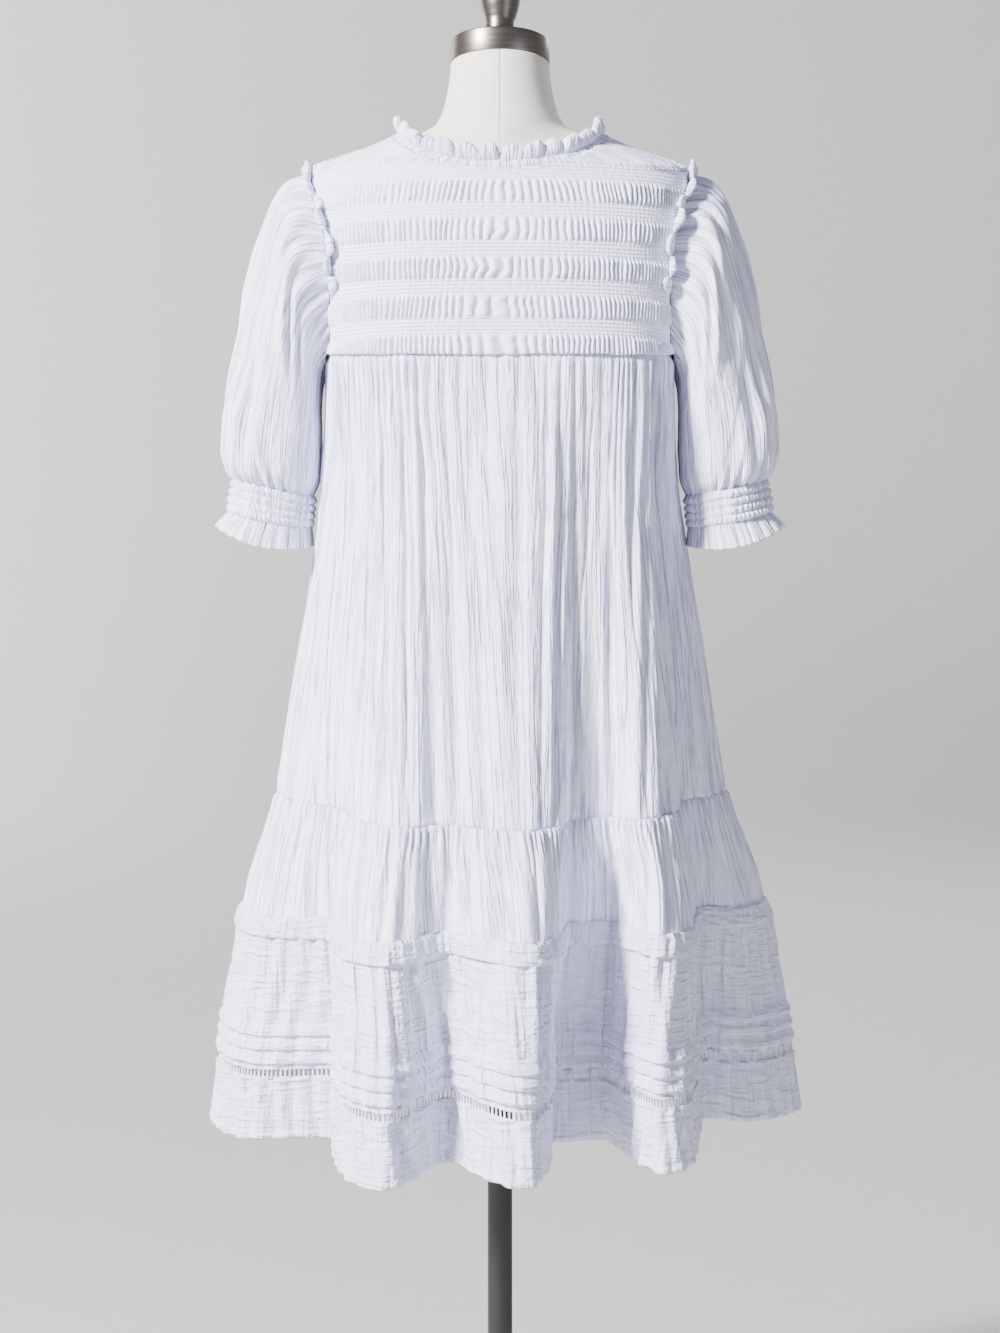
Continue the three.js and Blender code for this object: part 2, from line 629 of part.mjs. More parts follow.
function cuffRuffleRows() {
  const columns = CUFF_WAVES * 2;
  return CUFF_RUFFLE.map((section, i) => {
    const ring = sleeveRing(section, columns);
    const middle = ring[0].clone().add(ring[columns / 2]).multiplyScalar(0.5);
    const share = i / (CUFF_RUFFLE.length - 1);
    return ring.map((p, j) => {
      const way = p.clone().sub(middle).setZ(0).normalize();
      return p.addScaledVector(way, (j % 2 ? CUFF_RUFFLE_SWING : -CUFF_RUFFLE_SWING) * share);
    });
  });
}

// The ruffle along the armhole seam, over the shoulder from the back to the front.
function armholeRuffleRows() {
  const { turn, lean, rise, swing, above, inset } = ARMHOLE_RUFFLE;
  const columns = ARMHOLE_WAVES * 2 + 1;
  const place = (j) => {
    const { point, normal, inward } = armhole(90 + lerp(-turn, turn, j / (columns - 1)));
    const root = point.addScaledVector(normal, above).addScaledVector(inward, -inset);
    const out = normal.clone().addScaledVector(inward, -lean).normalize();
    const side = normal.clone().multiplyScalar(lean).add(inward).normalize();
    return { root, out, side };
  };
  return ruffleRows({ columns, rise, swing, place });
}

const sides = [
  { name: "right", put: (rows) => rows },
  { name: "left", put: mirrored },
];
for (const { name, put } of sides) {
  add(`sleeve_${name}`, wall(put(sleeveRows()), { ring: true }), GAUZE);
  add(`cuff_${name}`, wall(put(cuffRows()), { ring: true, relief: cuffRelief }), GAUZE);
  add(`cuff_ruffle_${name}`, wall(put(cuffRuffleRows()), { ring: true }), GAUZE);
  add(`armhole_ruffle_${name}`, wall(put(armholeRuffleRows())), GAUZE);
}

// Rows of a skirt panel from a list of levels. A level can dip at centre and be gathered, and the
// columns are given as shares of the way from one side seam to the other.
function skirtRows(half, levels, shares) {
  const last = shares.length - 1;
  return levels.map(({ z, dip = 0, gather = 0 }) =>
    shares.map((share, j) => {
      const level = typeof z === "function" ? z(share) : z;
      const at = half.angle(level, share);
      const tangent = half.point(level, at + 0.5).sub(half.point(level, at - 0.5)).setZ(0).normalize();
      const outward = new THREE.Vector3(tangent.y, -tangent.x, 0);
      const p = half.point(level, at).addScaledVector(outward, j % 2 ? -gather : gather);
      p.z -= dip * Math.cos(radians(at)) ** 2;
      if (j === 0) p.addScaledVector(tangent, SEAM_GAP / 2);
      if (j === last) p.addScaledVector(tangent, -SEAM_GAP / 2);
      return p;
    }),
  );
}
const evenly = (count) => Array.from({ length: count + 1 }, (_, j) => j / count);

// The body panel hangs from the yoke seam in gathers that melt into long soft pleats.
function bodyPanel(half) {
  const levels = [
    { z: bodyTop, gather: 0 },
    { z: 1218, gather: 1.8 },
    { z: 1105, gather: 2 },
    { z: 965, gather: 1.8 },
    { z: TIER_SEAM_Z + SEAM_GAP / 2, dip: TIER_SEAM_DIP, gather: 1.2 },
  ];
  return wall(skirtRows(half, levels, evenly(BODY_GATHERS * 2)));
}

// The gathered tier, from its seam to the stitching of the wide tuck.
function tierPanel(half) {
  const levels = [
    { z: TIER_SEAM_Z - 1.2 * SEAM_GAP, dip: TIER_SEAM_DIP, gather: 1.2 },
    { z: TIER_SEAM_Z - 16, dip: TIER_SEAM_DIP * 0.8, gather: 3.2 },
    { z: 750, dip: 4, gather: 3 },
    { z: TUCK_TOP_Z + SEAM_GAP / 2, gather: 1 },
  ];
  return wall(skirtRows(half, levels, evenly(TIER_GATHERS * 2)));
}

// The flounce under it: the wide tuck stands over its top, and pin tucks over its foot.
function flouncePanel(half) {
  const levels = [
    { z: TUCK_TOP_Z - SEAM_GAP, raised: 0 },
    { z: TUCK_TOP_Z - TUCK_HEIGHT, raised: 3.4 },
    { z: TUCK_TOP_Z - TUCK_HEIGHT - 1.5, raised: 0 },
  ];
  for (let tuck = 0; tuck < PIN_TUCKS; tuck += 1) {
    const top = PIN_TUCK_TOP_Z - tuck * PIN_TUCK_HEIGHT;
    levels.push({ z: top, raised: 0.3 });
    levels.push({ z: top - PIN_TUCK_HEIGHT * 0.75, raised: 2.6 });
  }
  levels.push({ z: LADDER_TOP_Z + SEAM_GAP / 2, raised: 0 });
  return wall(skirtRows(half, levels, half.columns), { relief: (i) => levels[i].raised });
}

// The openwork insertion. Its holes are finer than this model's solids hold, so it is a plain strip.
function ladderPanel(half) {
  const levels = [
    { z: LADDER_TOP_Z - SEAM_GAP / 2 },
    { z: LADDER_TOP_Z - LADDER_HEIGHT + SEAM_GAP / 2 },
  ];
  return wall(skirtRows(half, levels, half.columns), { thickness: 1.1 });
}

function hemPanel(half) {
  const levels = [
    { z: LADDER_TOP_Z - LADDER_HEIGHT - SEAM_GAP / 2, raised: 0.5 },
    { z: HEM_Z + HEM_FOLD, raised: 0.8 },
    { z: HEM_Z, raised: 0.4 },
  ];
  return wall(skirtRows(half, levels, half.columns), { relief: (i) => levels[i].raised });
}

const halves = [
  { name: "back", half: BACK },
  { name: "front", half: FRONT },
];
for (const { name, half } of halves) {
  add(`body_${name}`, bodyPanel(half), GAUZE);
  add(`tier_${name}`, tierPanel(half), GAUZE);
  add(`flounce_${name}`, flouncePanel(half), GAUZE);
  add(`ladder_${name}`, ladderPanel(half), GAUZE);
  add(`hem_${name}`, hemPanel(half), GAUZE);
}

// The dress form's torso and neck in one smooth solid.
function torso() {
  const section = sections(FORM);
  const lean = curve(FORM, "z", "lean");
  const columns = 24;
  const rings = [...FORM].reverse().map(({ z }) => {
    const tilt = radians(NECK_TILT) * clamp((z - NECK_TILT_START_Z) / 40, 0, 1);
    const points = [];
    for (let j = 0; j < columns; j += 1) {
      const p = section(z, (360 * j) / columns);
      p.z -= p.y * Math.tan(tilt);
      p.y += lean(z);
      points.push(p);
    }
    return points;
  });
  return capped(rings);
}
add("form_torso", torso(), LINEN);

// The neck cap and the finial on it stand on the neck's tilted top.
const neckTop = FORM[FORM.length - 1];
const head = new THREE.Group();
head.name = "head";
head.position.set(0, neckTop.lean, neckTop.z);
head.rotation.x = -radians(NECK_TILT);
dress.add(head);

// A turned piece from its profile: radii and heights, both ends on the axis.
function turned(profile) {
  const points = profile.map(([radius, height]) => new THREE.Vector2(radius, height));
  const geometry = new THREE.LatheGeometry(points, TURNED_SIDES);
  geometry.rotateX(Math.PI / 2);
  return geometry;
}
function addTo(group, name, geometry, finish) {
  group.add(add(name, geometry, finish));
}
const capProfile = [
  [0, SEAT_GAP],
  [CAP_RADIUS, SEAT_GAP],
  [CAP_RADIUS, CAP_HEIGHT - CAP_BEVEL],
  [CAP_RADIUS - CAP_BEVEL, CAP_HEIGHT],
  [0, CAP_HEIGHT],
];
addTo(head, "neck_cap", turned(capProfile), GUNMETAL);
const finialFoot = CAP_HEIGHT + SEAT_GAP;
const finialProfile = [
  [0, 0],
  [22, 0],
  [22, 4],
  [16, 7],
  [15, 20],
  [16.5, 27],
  [19, 36],
  [20.5, 46],
  [19.5, 56],
  [16, 64],
  [10, 69.5],
  [0, 71.5],
].map(([radius, height]) => [radius, finialFoot + height]);
addTo(head, "finial", turned(finialProfile), GUNMETAL);

// The stand: a round base, a socket on it, the pole and the collar that carries the torso.
const baseProfile = [
  [0, 0],
  [BASE_RADIUS, 0],
  [BASE_RADIUS, BASE_THICKNESS - 3],
  [BASE_RADIUS - 4, BASE_THICKNESS],
  [0, BASE_THICKNESS],
];
add("base", turned(baseProfile), GUNMETAL);
const socketFoot = BASE_THICKNESS + SEAT_GAP;
const socketProfile = [
  [0, 0],
  [SOCKET_RADIUS + 9, 0],
  [SOCKET_RADIUS + 9, 4],
  [SOCKET_RADIUS, 10],
  [SOCKET_RADIUS - 4, SOCKET_HEIGHT],
  [0, SOCKET_HEIGHT],
].map(([radius, height]) => [radius, socketFoot + height]);
add("base_socket", turned(socketProfile), GUNMETAL);
const poleFoot = socketFoot + SOCKET_HEIGHT + SEAT_GAP;
const collarFoot = FORM[0].z - SEAT_GAP - COLLAR_HEIGHT;
const poleProfile = [
  [0, poleFoot],
  [POLE_RADIUS, poleFoot],
  [POLE_RADIUS, collarFoot - SEAT_GAP],
  [0, collarFoot - SEAT_GAP],
];
add("pole", turned(poleProfile), GUNMETAL);
const collarProfile = [
  [0, 0],
  [POLE_RADIUS + 6, 0],
  [POLE_RADIUS + 7, 6],
  [COLLAR_RADIUS, 9],
  [COLLAR_RADIUS, COLLAR_HEIGHT],
  [0, COLLAR_HEIGHT],
].map(([radius, height]) => [radius, collarFoot + height]);
add("pole_collar", turned(collarProfile), GUNMETAL);

export default dress;
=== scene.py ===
"""A white double gauze peasant dress on a limbless dress form, seen from behind.

The object's lengths are in millimetres, and points are turned to metres when a mesh is made. The
floor, the lights and the camera are placed in metres. +Z is up, the garment's back faces -Y, and
+X is the wearer's right. On a sheet of cloth, u runs across and v down. A grid of points lies on
its inner side, and its relief is how far its outer side stands out past the cloth's thickness.
"""

import math

import bpy
import numpy as np
from mathutils import Matrix, Vector


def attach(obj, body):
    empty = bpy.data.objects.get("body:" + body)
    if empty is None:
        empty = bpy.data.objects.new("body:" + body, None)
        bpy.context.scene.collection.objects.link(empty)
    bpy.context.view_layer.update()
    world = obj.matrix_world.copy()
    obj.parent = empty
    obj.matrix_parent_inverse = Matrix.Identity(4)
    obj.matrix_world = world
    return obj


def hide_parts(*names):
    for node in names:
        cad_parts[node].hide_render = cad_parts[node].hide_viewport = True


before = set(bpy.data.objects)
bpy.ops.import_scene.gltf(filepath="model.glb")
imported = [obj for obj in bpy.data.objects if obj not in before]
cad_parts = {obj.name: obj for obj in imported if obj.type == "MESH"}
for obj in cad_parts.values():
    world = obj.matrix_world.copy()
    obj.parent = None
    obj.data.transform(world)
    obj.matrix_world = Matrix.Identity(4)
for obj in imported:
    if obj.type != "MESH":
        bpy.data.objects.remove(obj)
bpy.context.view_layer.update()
bpy.ops.object.select_all(action="DESELECT")

MM = 0.001
# The cloth's thickness, and the least thickness of its shell where the relief is hollow
CLOTH = 1.6
SKIN = 0.9

# Heights of the garment's lines
NECK_HALF_WIDTH = 97
NECK_SIDE_Z = 1466
NECK_BACK_Z = 1432.6
NECK_FRONT_Z = 1388
NECK_BAND = 8.5
SHOULDER_Z = 1428
YOKE_SEAM_Z = 1249
UNDERARM_DROP = 11
TIER_SEAM_Z = 812
TUCK_TOP_Z = 697
TUCK_HEIGHT = 21
PIN_TUCK_TOP_Z = 590
PIN_TUCK_HEIGHT = 14
PIN_TUCKS = 3
LADDER_TOP_Z = 546
LADDER_HEIGHT = 10
HEM_Z = 475
HEM_FOLD = 8

# Smocking
SMOCK_TOP_Z = 1413.7
SMOCK_PITCH = 37.3
SMOCK_BAND = 20
SMOCK_PLEAT = 5
SMOCK_RELIEF = 5
STITCH_PITCH = 3.6


def table(columns, *rows):
    """A table with named columns, each an array."""
    values = np.array(rows, float)
    return {name: values[:, i] for i, name in enumerate(columns.split())}


# The garment's girth at each height: half widths to the side, back and front, and how square it is.
GIRTH = table(
    "z side back front square",
    (475, 290, 214, 212, 2.1),
    (565, 279, 211, 206, 2.1),
    (645, 266.5, 206, 198, 2.15),
    (700, 256.5, 201, 190, 2.2),
    (755, 241, 194, 179, 2.2),
    (800, 224, 186, 168, 2.2),
    (845, 215, 173, 160, 2.25),
    (905, 206, 159, 150, 2.3),
    (965, 196, 146, 141, 2.4),
    (1045, 182, 127, 129, 2.55),
    (1105, 174, 115, 123, 2.7),
    (1155, 170, 107, 121, 2.8),
    (1205, 169, 101, 119, 2.9),
    (1249, 170, 96, 109, 2.9),
    (1313, 177, 94, 98, 2.6),
    (1352, 181, 92, 90, 2.5),
    (1386, 185, 85, 82, 2.4),
    (1412, 187, 79, 76, 2.2),
    (1428, 186, 74, 71, 2.0),
    (1437, 165, 71, 67, 2.0),
    (1448, 139, 67, 61, 2.0),
    (1458, 116, 63, 56, 2.0),
    (1466, 98, 60, 53, 2.0),
)
# The skirt's folds at the hem: where each lies in degrees from centre back towards the wearer's
# right, how far it stands out, how far it is swept along, and how far its hem is lifted.
BACK_FOLDS = table(
    "at out along lift",
    (-90, 2, -30, 2),
    (-72, -18, 23, 4),
    (-50, -71, 20, 8),
    (-36, 47, 70, -2),
    (-25, 64, 41, -4),
    (-11, -8, 8, 8),
    (6, 54, -16, -3),
    (15, 10, -42, 0),
    (21, -92, -36, 9),
    (29, -87, -14, 9),
    (40, 30, -58, 0),
    (52, 0, -67, 2),
    (60, -66, -3, 20),
    (74, -29, 11, 12),
    (90, 16, 30, 9),
)
FRONT_FOLDS = table(
    "at out along lift",
    (90, 16, 30, 9),
    (106, 11, 55, 2),
    (122, -22, 32, 5),
    (132, 27, 62, 0),
    (144, 36, 66, -2),
    (155, -52, 20, 7),
    (166, -63, 14, 8),
    (174, 21, 8, 0),
    (186, 48, -12, -3),
    (196, 19, -19, 0),
    (203, -56, -16, 8),
    (212, -46, -8, 6),
    (221, 25, -54, 0),
    (232, 30, -58, -2),
    (246, -16, -42, 4),
    (258, 2, -58, 2),
    (270, 2, -30, 2),
)
FOLD_GROWTH = table(
    "z share crowd",
    (475, 1, 1),
    (590, 0.84, 0.85),
    (700, 0.58, 0.6),
    (812, 0.3, 0.35),
    (1000, 0.13, 0.15),
    (1249, 0, 0),
)
# How far the seams dip at centre back and centre front
SEAM_DIP = table("z dip", (697, 0), (750, 4), (796, 12), (812, 15), (965, 0))
ARMHOLE = table(
    "z edge",
    (1249, 75),
    (1313, 66),
    (1352, 65),
    (1386, 70),
    (1412, 80),
    (1428, 90),
)
# The wearer's right sleeve: the outer and inner ends of each section, half its depth, and the
# height of each section along the sleeve.
SLEEVE = table(
    "row out_x out_z in_x in_z depth",
    (1, 209, 1420, 176, 1222, 56),
    (2, 225, 1395, 176.5, 1207, 59),
    (3, 240, 1348, 177, 1190, 60),
    (4, 255, 1292, 177, 1173, 59),
    (5, 267, 1238, 177, 1157, 58),
    (6, 275, 1194, 177.5, 1143, 58),
    (7, 277.5, 1160, 178, 1130, 57),
    (8, 274.5, 1139, 181.5, 1118, 53),
    (9, 264.5, 1127.4, 186, 1109.8, 45),
)
CUFF = table(
    "row out_x out_z in_x in_z depth sag",
    (0, 264, 1125.6, 186.5, 1108, 44, 2),
    (1, 271, 1094, 188.5, 1078, 45, 3),
)
CUFF_RUFFLE = table(
    "row out_x out_z in_x in_z depth sag",
    (0, 270.5, 1092.9, 189, 1076.9, 44.5, 3),
    (1, 276.5, 1086, 189.5, 1066.5, 49, 6),
    (2, 280, 1081, 190, 1060, 53, 10),
)
# The dress form, from its underside to the top of its neck
FORM = table(
    "z side back front square lean",
    (815, 140, 97, 96, 2.3, 0),
    (862, 147, 104, 99, 2.3, 0),
    (930, 141, 98, 93, 2.3, 0),
    (1000, 123, 85, 85, 2.3, 0),
    (1062, 112, 77, 83, 2.3, 0),
    (1120, 118, 80, 94, 2.3, 0),
    (1180, 129, 86, 110, 2.35, 0),
    (1249, 143, 90, 103, 2.45, 0),
    (1313, 157, 91, 92, 2.45, 0),
    (1352, 168, 90, 86, 2.4, 0),
    (1386, 178, 84, 79.5, 2.3, 0),
    (1412, 183.5, 75, 71.5, 2.1, 0),
    (1428, 184.8, 70, 64, 1.75, 0),
    (1437, 163, 66, 52, 1.55, 0),
    (1448, 136.4, 62, 44, 1.35, 0),
    (1456, 118, 58, 38, 1.3, 0),
    (1463, 96, 56, 40, 1.4, 0),
    (1469, 76, 54.5, 45, 1.6, 1),
    (1476, 64, 53, 48.5, 1.85, 3),
    (1487, 58, 51.5, 50, 2, 6),
    (1505, 53, 50.5, 50, 2, 11),
    (1520, 50.5, 49.8, 49.8, 2, 15),
    (1537, 49, 49, 49, 2, 20),
)
FORM_FOOT_Z = 815
FORM_TOP_Z = 1537
FORM_NECK_FOOT_Z = 1465
FORM_NECK_SEAM_Z = 1487
# The cover's seams are grooves above this height, and below it show in the material alone.
COVER_SEAM_FOOT_Z = 1440
NECK_TILT = 11
NECK_TILT_START_Z = 1474


def lerp(a, b, share):
    return a + (b - a) * share


def smoothstep(low, high, value):
    s = np.clip((value - low) / (high - low), 0, 1)
    return s * s * (3 - 2 * s)


def signed_power(value, power):
    return np.sign(value) * np.abs(value) ** power


def curve(values, along, column):
    """A smooth curve through one column of a table, along another, that never overshoots a row."""
    x, y = values[along], values[column]
    slope = np.diff(y) / np.diff(x)
    product = slope[:-1] * slope[1:]
    total = np.where(product > 0, slope[:-1] + slope[1:], 1)
    inner = np.where(product > 0, 2 * product / total, 0)
    tangent = np.concatenate([slope[:1], inner, slope[-1:]])

    def at(position):
        p = np.clip(position, x[0], x[-1])
        i = np.clip(np.searchsorted(x, p) - 1, 0, len(x) - 2)
        width = x[i + 1] - x[i]
        s = (p - x[i]) / width
        rise = s * s * (3 - 2 * s)
        start = s * (1 - s) ** 2 * width * tangent[i]
        end = s * s * (s - 1) * width * tangent[i + 1]
        return y[i] * (1 - rise) + y[i + 1] * rise + start + end

    return at


def noise(x, y, seed):
    """Smooth noise from -1 to 1, with one cell to each unit of x and y."""
    lattice = np.random.default_rng(seed).uniform(-1, 1, (128, 128))
    x, y = np.broadcast_arrays(x, y)
    column, row = np.floor(x).astype(int), np.floor(y).astype(int)
    s, t = x - column, y - row
    s, t = s * s * (3 - 2 * s), t * t * (3 - 2 * t)
    corner = [[lattice[(column + i) % 128, (row + j) % 128] for j in (0, 1)] for i in (0, 1)]
    return lerp(lerp(corner[0][0], corner[1][0], s), lerp(corner[0][1], corner[1][1], s), t)


def ridges(x, y, seed):
    """Noise with narrow crests and wide hollows, from 0 to 1."""
    return 1 - np.abs(noise(x, y, seed)) ** 0.6


def sections(values):
    """A function that gives the level sections of a table such as GIRTH or FORM."""
    side, back = curve(values, "z", "side"), curve(values, "z", "back")
    front, square = curve(values, "z", "front"), curve(values, "z", "square")

    def place(z, at):
        sine, cosine = np.sin(np.radians(at)), np.cos(np.radians(at))
        power = 2 / square(z)
        depth = np.where(cosine > 0, back(z), front(z))
        x = side(z) * signed_power(sine, power)
        y = -depth * signed_power(cosine, power)
        return np.stack(np.broadcast_arrays(x, y, z), -1)

    return place


girth = sections(GIRTH)
girth_side = curve(GIRTH, "z", "side")
girth_square = curve(GIRTH, "z", "square")
fold_share = curve(FOLD_GROWTH, "z", "share")
fold_crowd = curve(FOLD_GROWTH, "z", "crowd")
seam_dip = curve(SEAM_DIP, "z", "dip")
armhole_edge = curve(ARMHOLE, "z", "edge")


def unit(vectors):
    return vectors / np.maximum(np.linalg.norm(vectors, axis=-1, keepdims=True), 1e-9)


def normals(grid, ring=False):
    """The outward normals of a grid whose rows run down and whose columns run anticlockwise."""
    if ring:
        across = np.roll(grid, -1, 1) - np.roll(grid, 1, 1)
    else:
        across = np.gradient(grid, axis=1)
    return unit(np.cross(np.gradient(grid, axis=0), across))


class SkirtHalf:
    """The back or the front of the skirt, between its side seams."""

    def __init__(self, folds):
        self.out = curve(folds, "at", "out")
        self.along = curve(folds, "at", "along")
        self.lift = curve(folds, "at", "lift")
        self.first, self.last = folds["at"][0], folds["at"][-1]
        at = np.linspace(self.first, self.last, 181)
        steps = np.linalg.norm(np.diff(self.point(np.full(181, float(HEM_Z)), at), axis=0), axis=1)
        length = np.concatenate([[0], np.cumsum(steps)])
        self.hem_length = length[-1]
        self.hem_at = curve({"length": length, "at": at}, "length", "at")

    def point(self, z, at):
        """A point of the folded skirt at a height and an angle."""
        p = girth(z, at)
        tangent = unit(girth(z, at + 1) - girth(z, at - 1))
        outward = np.stack([tangent[..., 1], -tangent[..., 0], 0 * tangent[..., 0]], -1)
        share = fold_share(z)[..., None]
        p = p + outward * self.out(at)[..., None] * share
        p = p + tangent * self.along(at)[..., None] * share
        p[..., 2] += self.lift(at) * share[..., 0]
        return p

    def angle(self, z, share):
        """The angle at a share of the way along the cloth, whose folds crowd it at the hem."""
        even = lerp(self.first, self.last, share)
        crowded = self.hem_at(share * self.hem_length)
        return lerp(even, crowded, fold_crowd(z))

    def grid(self, z, share):
        """Points at a share of the way along the cloth, with the dip of the seams."""
        at = self.angle(z, share)
        p = self.point(z, at)
        p[..., 2] -= seam_dip(z) * (z > TUCK_TOP_Z) * np.cos(np.radians(at)) ** 2
        return p


BACK = SkirtHalf(BACK_FOLDS)
FRONT = SkirtHalf(FRONT_FOLDS)


def add_mesh(name, points, faces, uvs, smooth):
    """A mesh from points in millimetres, its faces, a UV for each corner and each face's shading."""
    mesh = bpy.data.meshes.new(name)
    mesh.from_pydata((np.asarray(points) * MM).tolist(), [], faces)
    layer = mesh.uv_layers.new(name="UVMap")
    layer.data.foreach_set("uv", np.asarray(uvs, np.float32).ravel())
    mesh.polygons.foreach_set("use_smooth", smooth)
    mesh.update()
    piece = bpy.data.objects.new(name, mesh)
    bpy.context.scene.collection.objects.link(piece)
    return piece


def shell(name, outer, inner, ring=False, step=2, cloth=None):
    """A closed shell of cloth from a fine outer grid and every step-th point of an inner grid.

    cloth gives each point's place on the cloth, across and down in millimetres.
    """
    rows, columns = outer.shape[:2]
    if cloth is None:
        closed = np.concatenate([inner, inner[:, :1]], 1) if ring else inner
        along = np.linalg.norm(np.diff(closed, axis=1), axis=2).mean(0)
        down = np.linalg.norm(np.diff(closed, axis=0), axis=2).mean(1)
        across = np.concatenate([[0], np.cumsum(along)])
        cloth = (across[None, :], np.concatenate([[0], np.cumsum(down)])[:, None])
    wide_enough = (rows, columns + 1 if ring else columns)
    u, v = (np.broadcast_to(axis, wide_enough) * MM for axis in cloth)
    v = -v
    inner = inner[::step, ::step]
    low_rows, low_columns = inner.shape[:2]
    wide = columns if ring else columns - 1
    low_wide = low_columns if ring else low_columns - 1

    i, j = np.meshgrid(np.arange(rows - 1), np.arange(wide), indexing="ij")
    i, j = i.ravel(), j.ravel()
    corners = [(i, j), (i + 1, j), (i + 1, j + 1), (i, j + 1)]
    quads = np.stack([a * columns + b % columns for a, b in corners], 1)
    uv = np.stack([np.stack([u[a, b], v[a, b]], 1) for a, b in corners], 1)
    shift = rows * columns
    i, j = np.meshgrid(np.arange(low_rows - 1), np.arange(low_wide), indexing="ij")
    i, j = i.ravel(), j.ravel()
    corners = [(i, j), (i, j + 1), (i + 1, j + 1), (i + 1, j)]
    low_quads = np.stack([shift + a * low_columns + b % low_columns for a, b in corners], 1)
    low_corners = [(a * step, b * step) for a, b in corners]
    low_uv = np.stack([np.stack([u[a, b], v[a, b]], 1) for a, b in low_corners], 1)

    rims, rim_uv = [], []

    def rim(places):
        """One face of the rim from (is_inner, row, column) places."""
        face = []
        for is_inner, a, b in places:
            if is_inner:
                face.append(shift + a * low_columns + b % low_columns)
                rim_uv.append((u[a * step, b * step], v[a * step, b * step]))
            else:
                face.append(a * columns + b % columns)
                rim_uv.append((u[a, b], v[a, b]))
        rims.append(face)

    foot, low_foot = rows - 1, low_rows - 1
    for b in range(low_wide):
        fine = range(b * step, (b + 1) * step + 1)
        rim([(True, 0, b), *((False, 0, c) for c in fine), (True, 0, b + 1)])
        rim([(True, low_foot, b + 1), *((False, foot, c) for c in reversed(fine)), (True, low_foot, b)])
    if not ring:
        end, low_end = columns - 1, low_columns - 1
        for a in range(low_foot):
            fine = range(a * step, (a + 1) * step + 1)
            rim([(True, a + 1, 0), *((False, c, 0) for c in reversed(fine)), (True, a, 0)])
            rim([(True, a, low_end), *((False, c, end) for c in fine), (True, a + 1, low_end)])
    faces = quads.tolist() + low_quads.tolist() + rims
    uvs = np.concatenate([uv.reshape(-1, 2), low_uv.reshape(-1, 2), np.array(rim_uv)])
    smooth = np.arange(len(faces)) < len(quads) + len(low_quads)
    points = np.concatenate([outer.reshape(-1, 3), inner.reshape(-1, 3)])
    return add_mesh(name, points, faces, uvs, smooth)


def mirrored(grid):
    """The same grid on the other side of the body, still anticlockwise seen from above."""
    return (grid * np.array([-1, 1, 1]))[:, ::-1]


# Materials


def colour(code):
    """A linear colour from an sRGB hex value."""
    channels = [int(code[i : i + 2], 16) / 255 for i in (1, 3, 5)]
    linear = [c / 12.92 if c <= 0.04045 else ((c + 0.055) / 1.055) ** 2.4 for c in channels]
    return (*linear, 1)


def node(material, kind, inputs=None, **settings):
    """Adds a node with its settings. inputs gives sockets a value, or another node's output."""
    made = material.node_tree.nodes.new(kind)
    for key, value in settings.items():
        setattr(made, key, value)
    for key, value in (inputs or {}).items():
        if isinstance(value, bpy.types.NodeSocket):
            material.node_tree.links.new(value, made.inputs[key])
        else:
            made.inputs[key].default_value = value
    return made


def new_material(name):
    material = bpy.data.materials.new(name)
    material.use_nodes = True
    material.node_tree.nodes.clear()
    return material


def uneven(material, place, across, down, up=1.0, detail=2.0):
    """Noise from 0 to 1 whose features measure across by down (by up) millimetres."""
    size = (1000 / across, 1000 / down, 1000 / up)
    scaled = node(material, "ShaderNodeVectorMath", {0: place, 1: size}, operation="MULTIPLY")
    inputs = {"Vector": scaled.outputs[0], "Scale": 1.0, "Detail": detail}
    return node(material, "ShaderNodeTexNoise", inputs).outputs["Fac"]


def creases(material, place, across, down, width):
    """Thin wandering creases: 0 in a crease and 1 on the cloth between creases."""
    value = uneven(material, place, across, down)
    off = node(material, "ShaderNodeMath", {0: value, 1: 0.5}, operation="SUBTRACT")
    off = node(material, "ShaderNodeMath", {0: off.outputs[0]}, operation="ABSOLUTE")
    inputs = {"Value": off.outputs[0], "From Max": width}
    return node(material, "ShaderNodeMapRange", inputs, interpolation_type="SMOOTHSTEP").outputs[0]


def total(material, *weighted):
    """The sum of outputs, each times its weight."""
    result = 0.0
    for weight, value in weighted:
        inputs = {0: value, 1: weight, 2: result}
        result = node(material, "ShaderNodeMath", inputs, operation="MULTIPLY_ADD").outputs[0]
    return result


def blend(material, share, low, high):
    """A colour between two hex colours."""
    inputs = {0: share, 6: colour(low), 7: colour(high)}
    return node(material, "ShaderNodeMix", inputs, data_type="RGBA").outputs[2]


def surfaced(material, tint, height, depth, roughness, specular=0.5, metallic=0.0, sheen=0.0):
    """Ends a material: its colour, its relief in millimetres and its gloss."""
    inputs = {"Height": height, "Strength": 1.0, "Distance": depth * MM}
    bump = node(material, "ShaderNodeBump", inputs).outputs[0]
    inputs = {"Base Color": tint, "Normal": bump, "Roughness": roughness, "Metallic": metallic}
    inputs |= {"Specular IOR Level": specular, "Sheen Weight": sheen, "Sheen Roughness": 0.6}
    shader = node(material, "ShaderNodeBsdfPrincipled", inputs)
    node(material, "ShaderNodeOutputMaterial", {"Surface": shader.outputs[0]})
    return material


WHITE = "#ececff"
# The colour of the painted shade in the gauze's creases
PAINTED_CREASE_SHADE = "#b9b9d3"


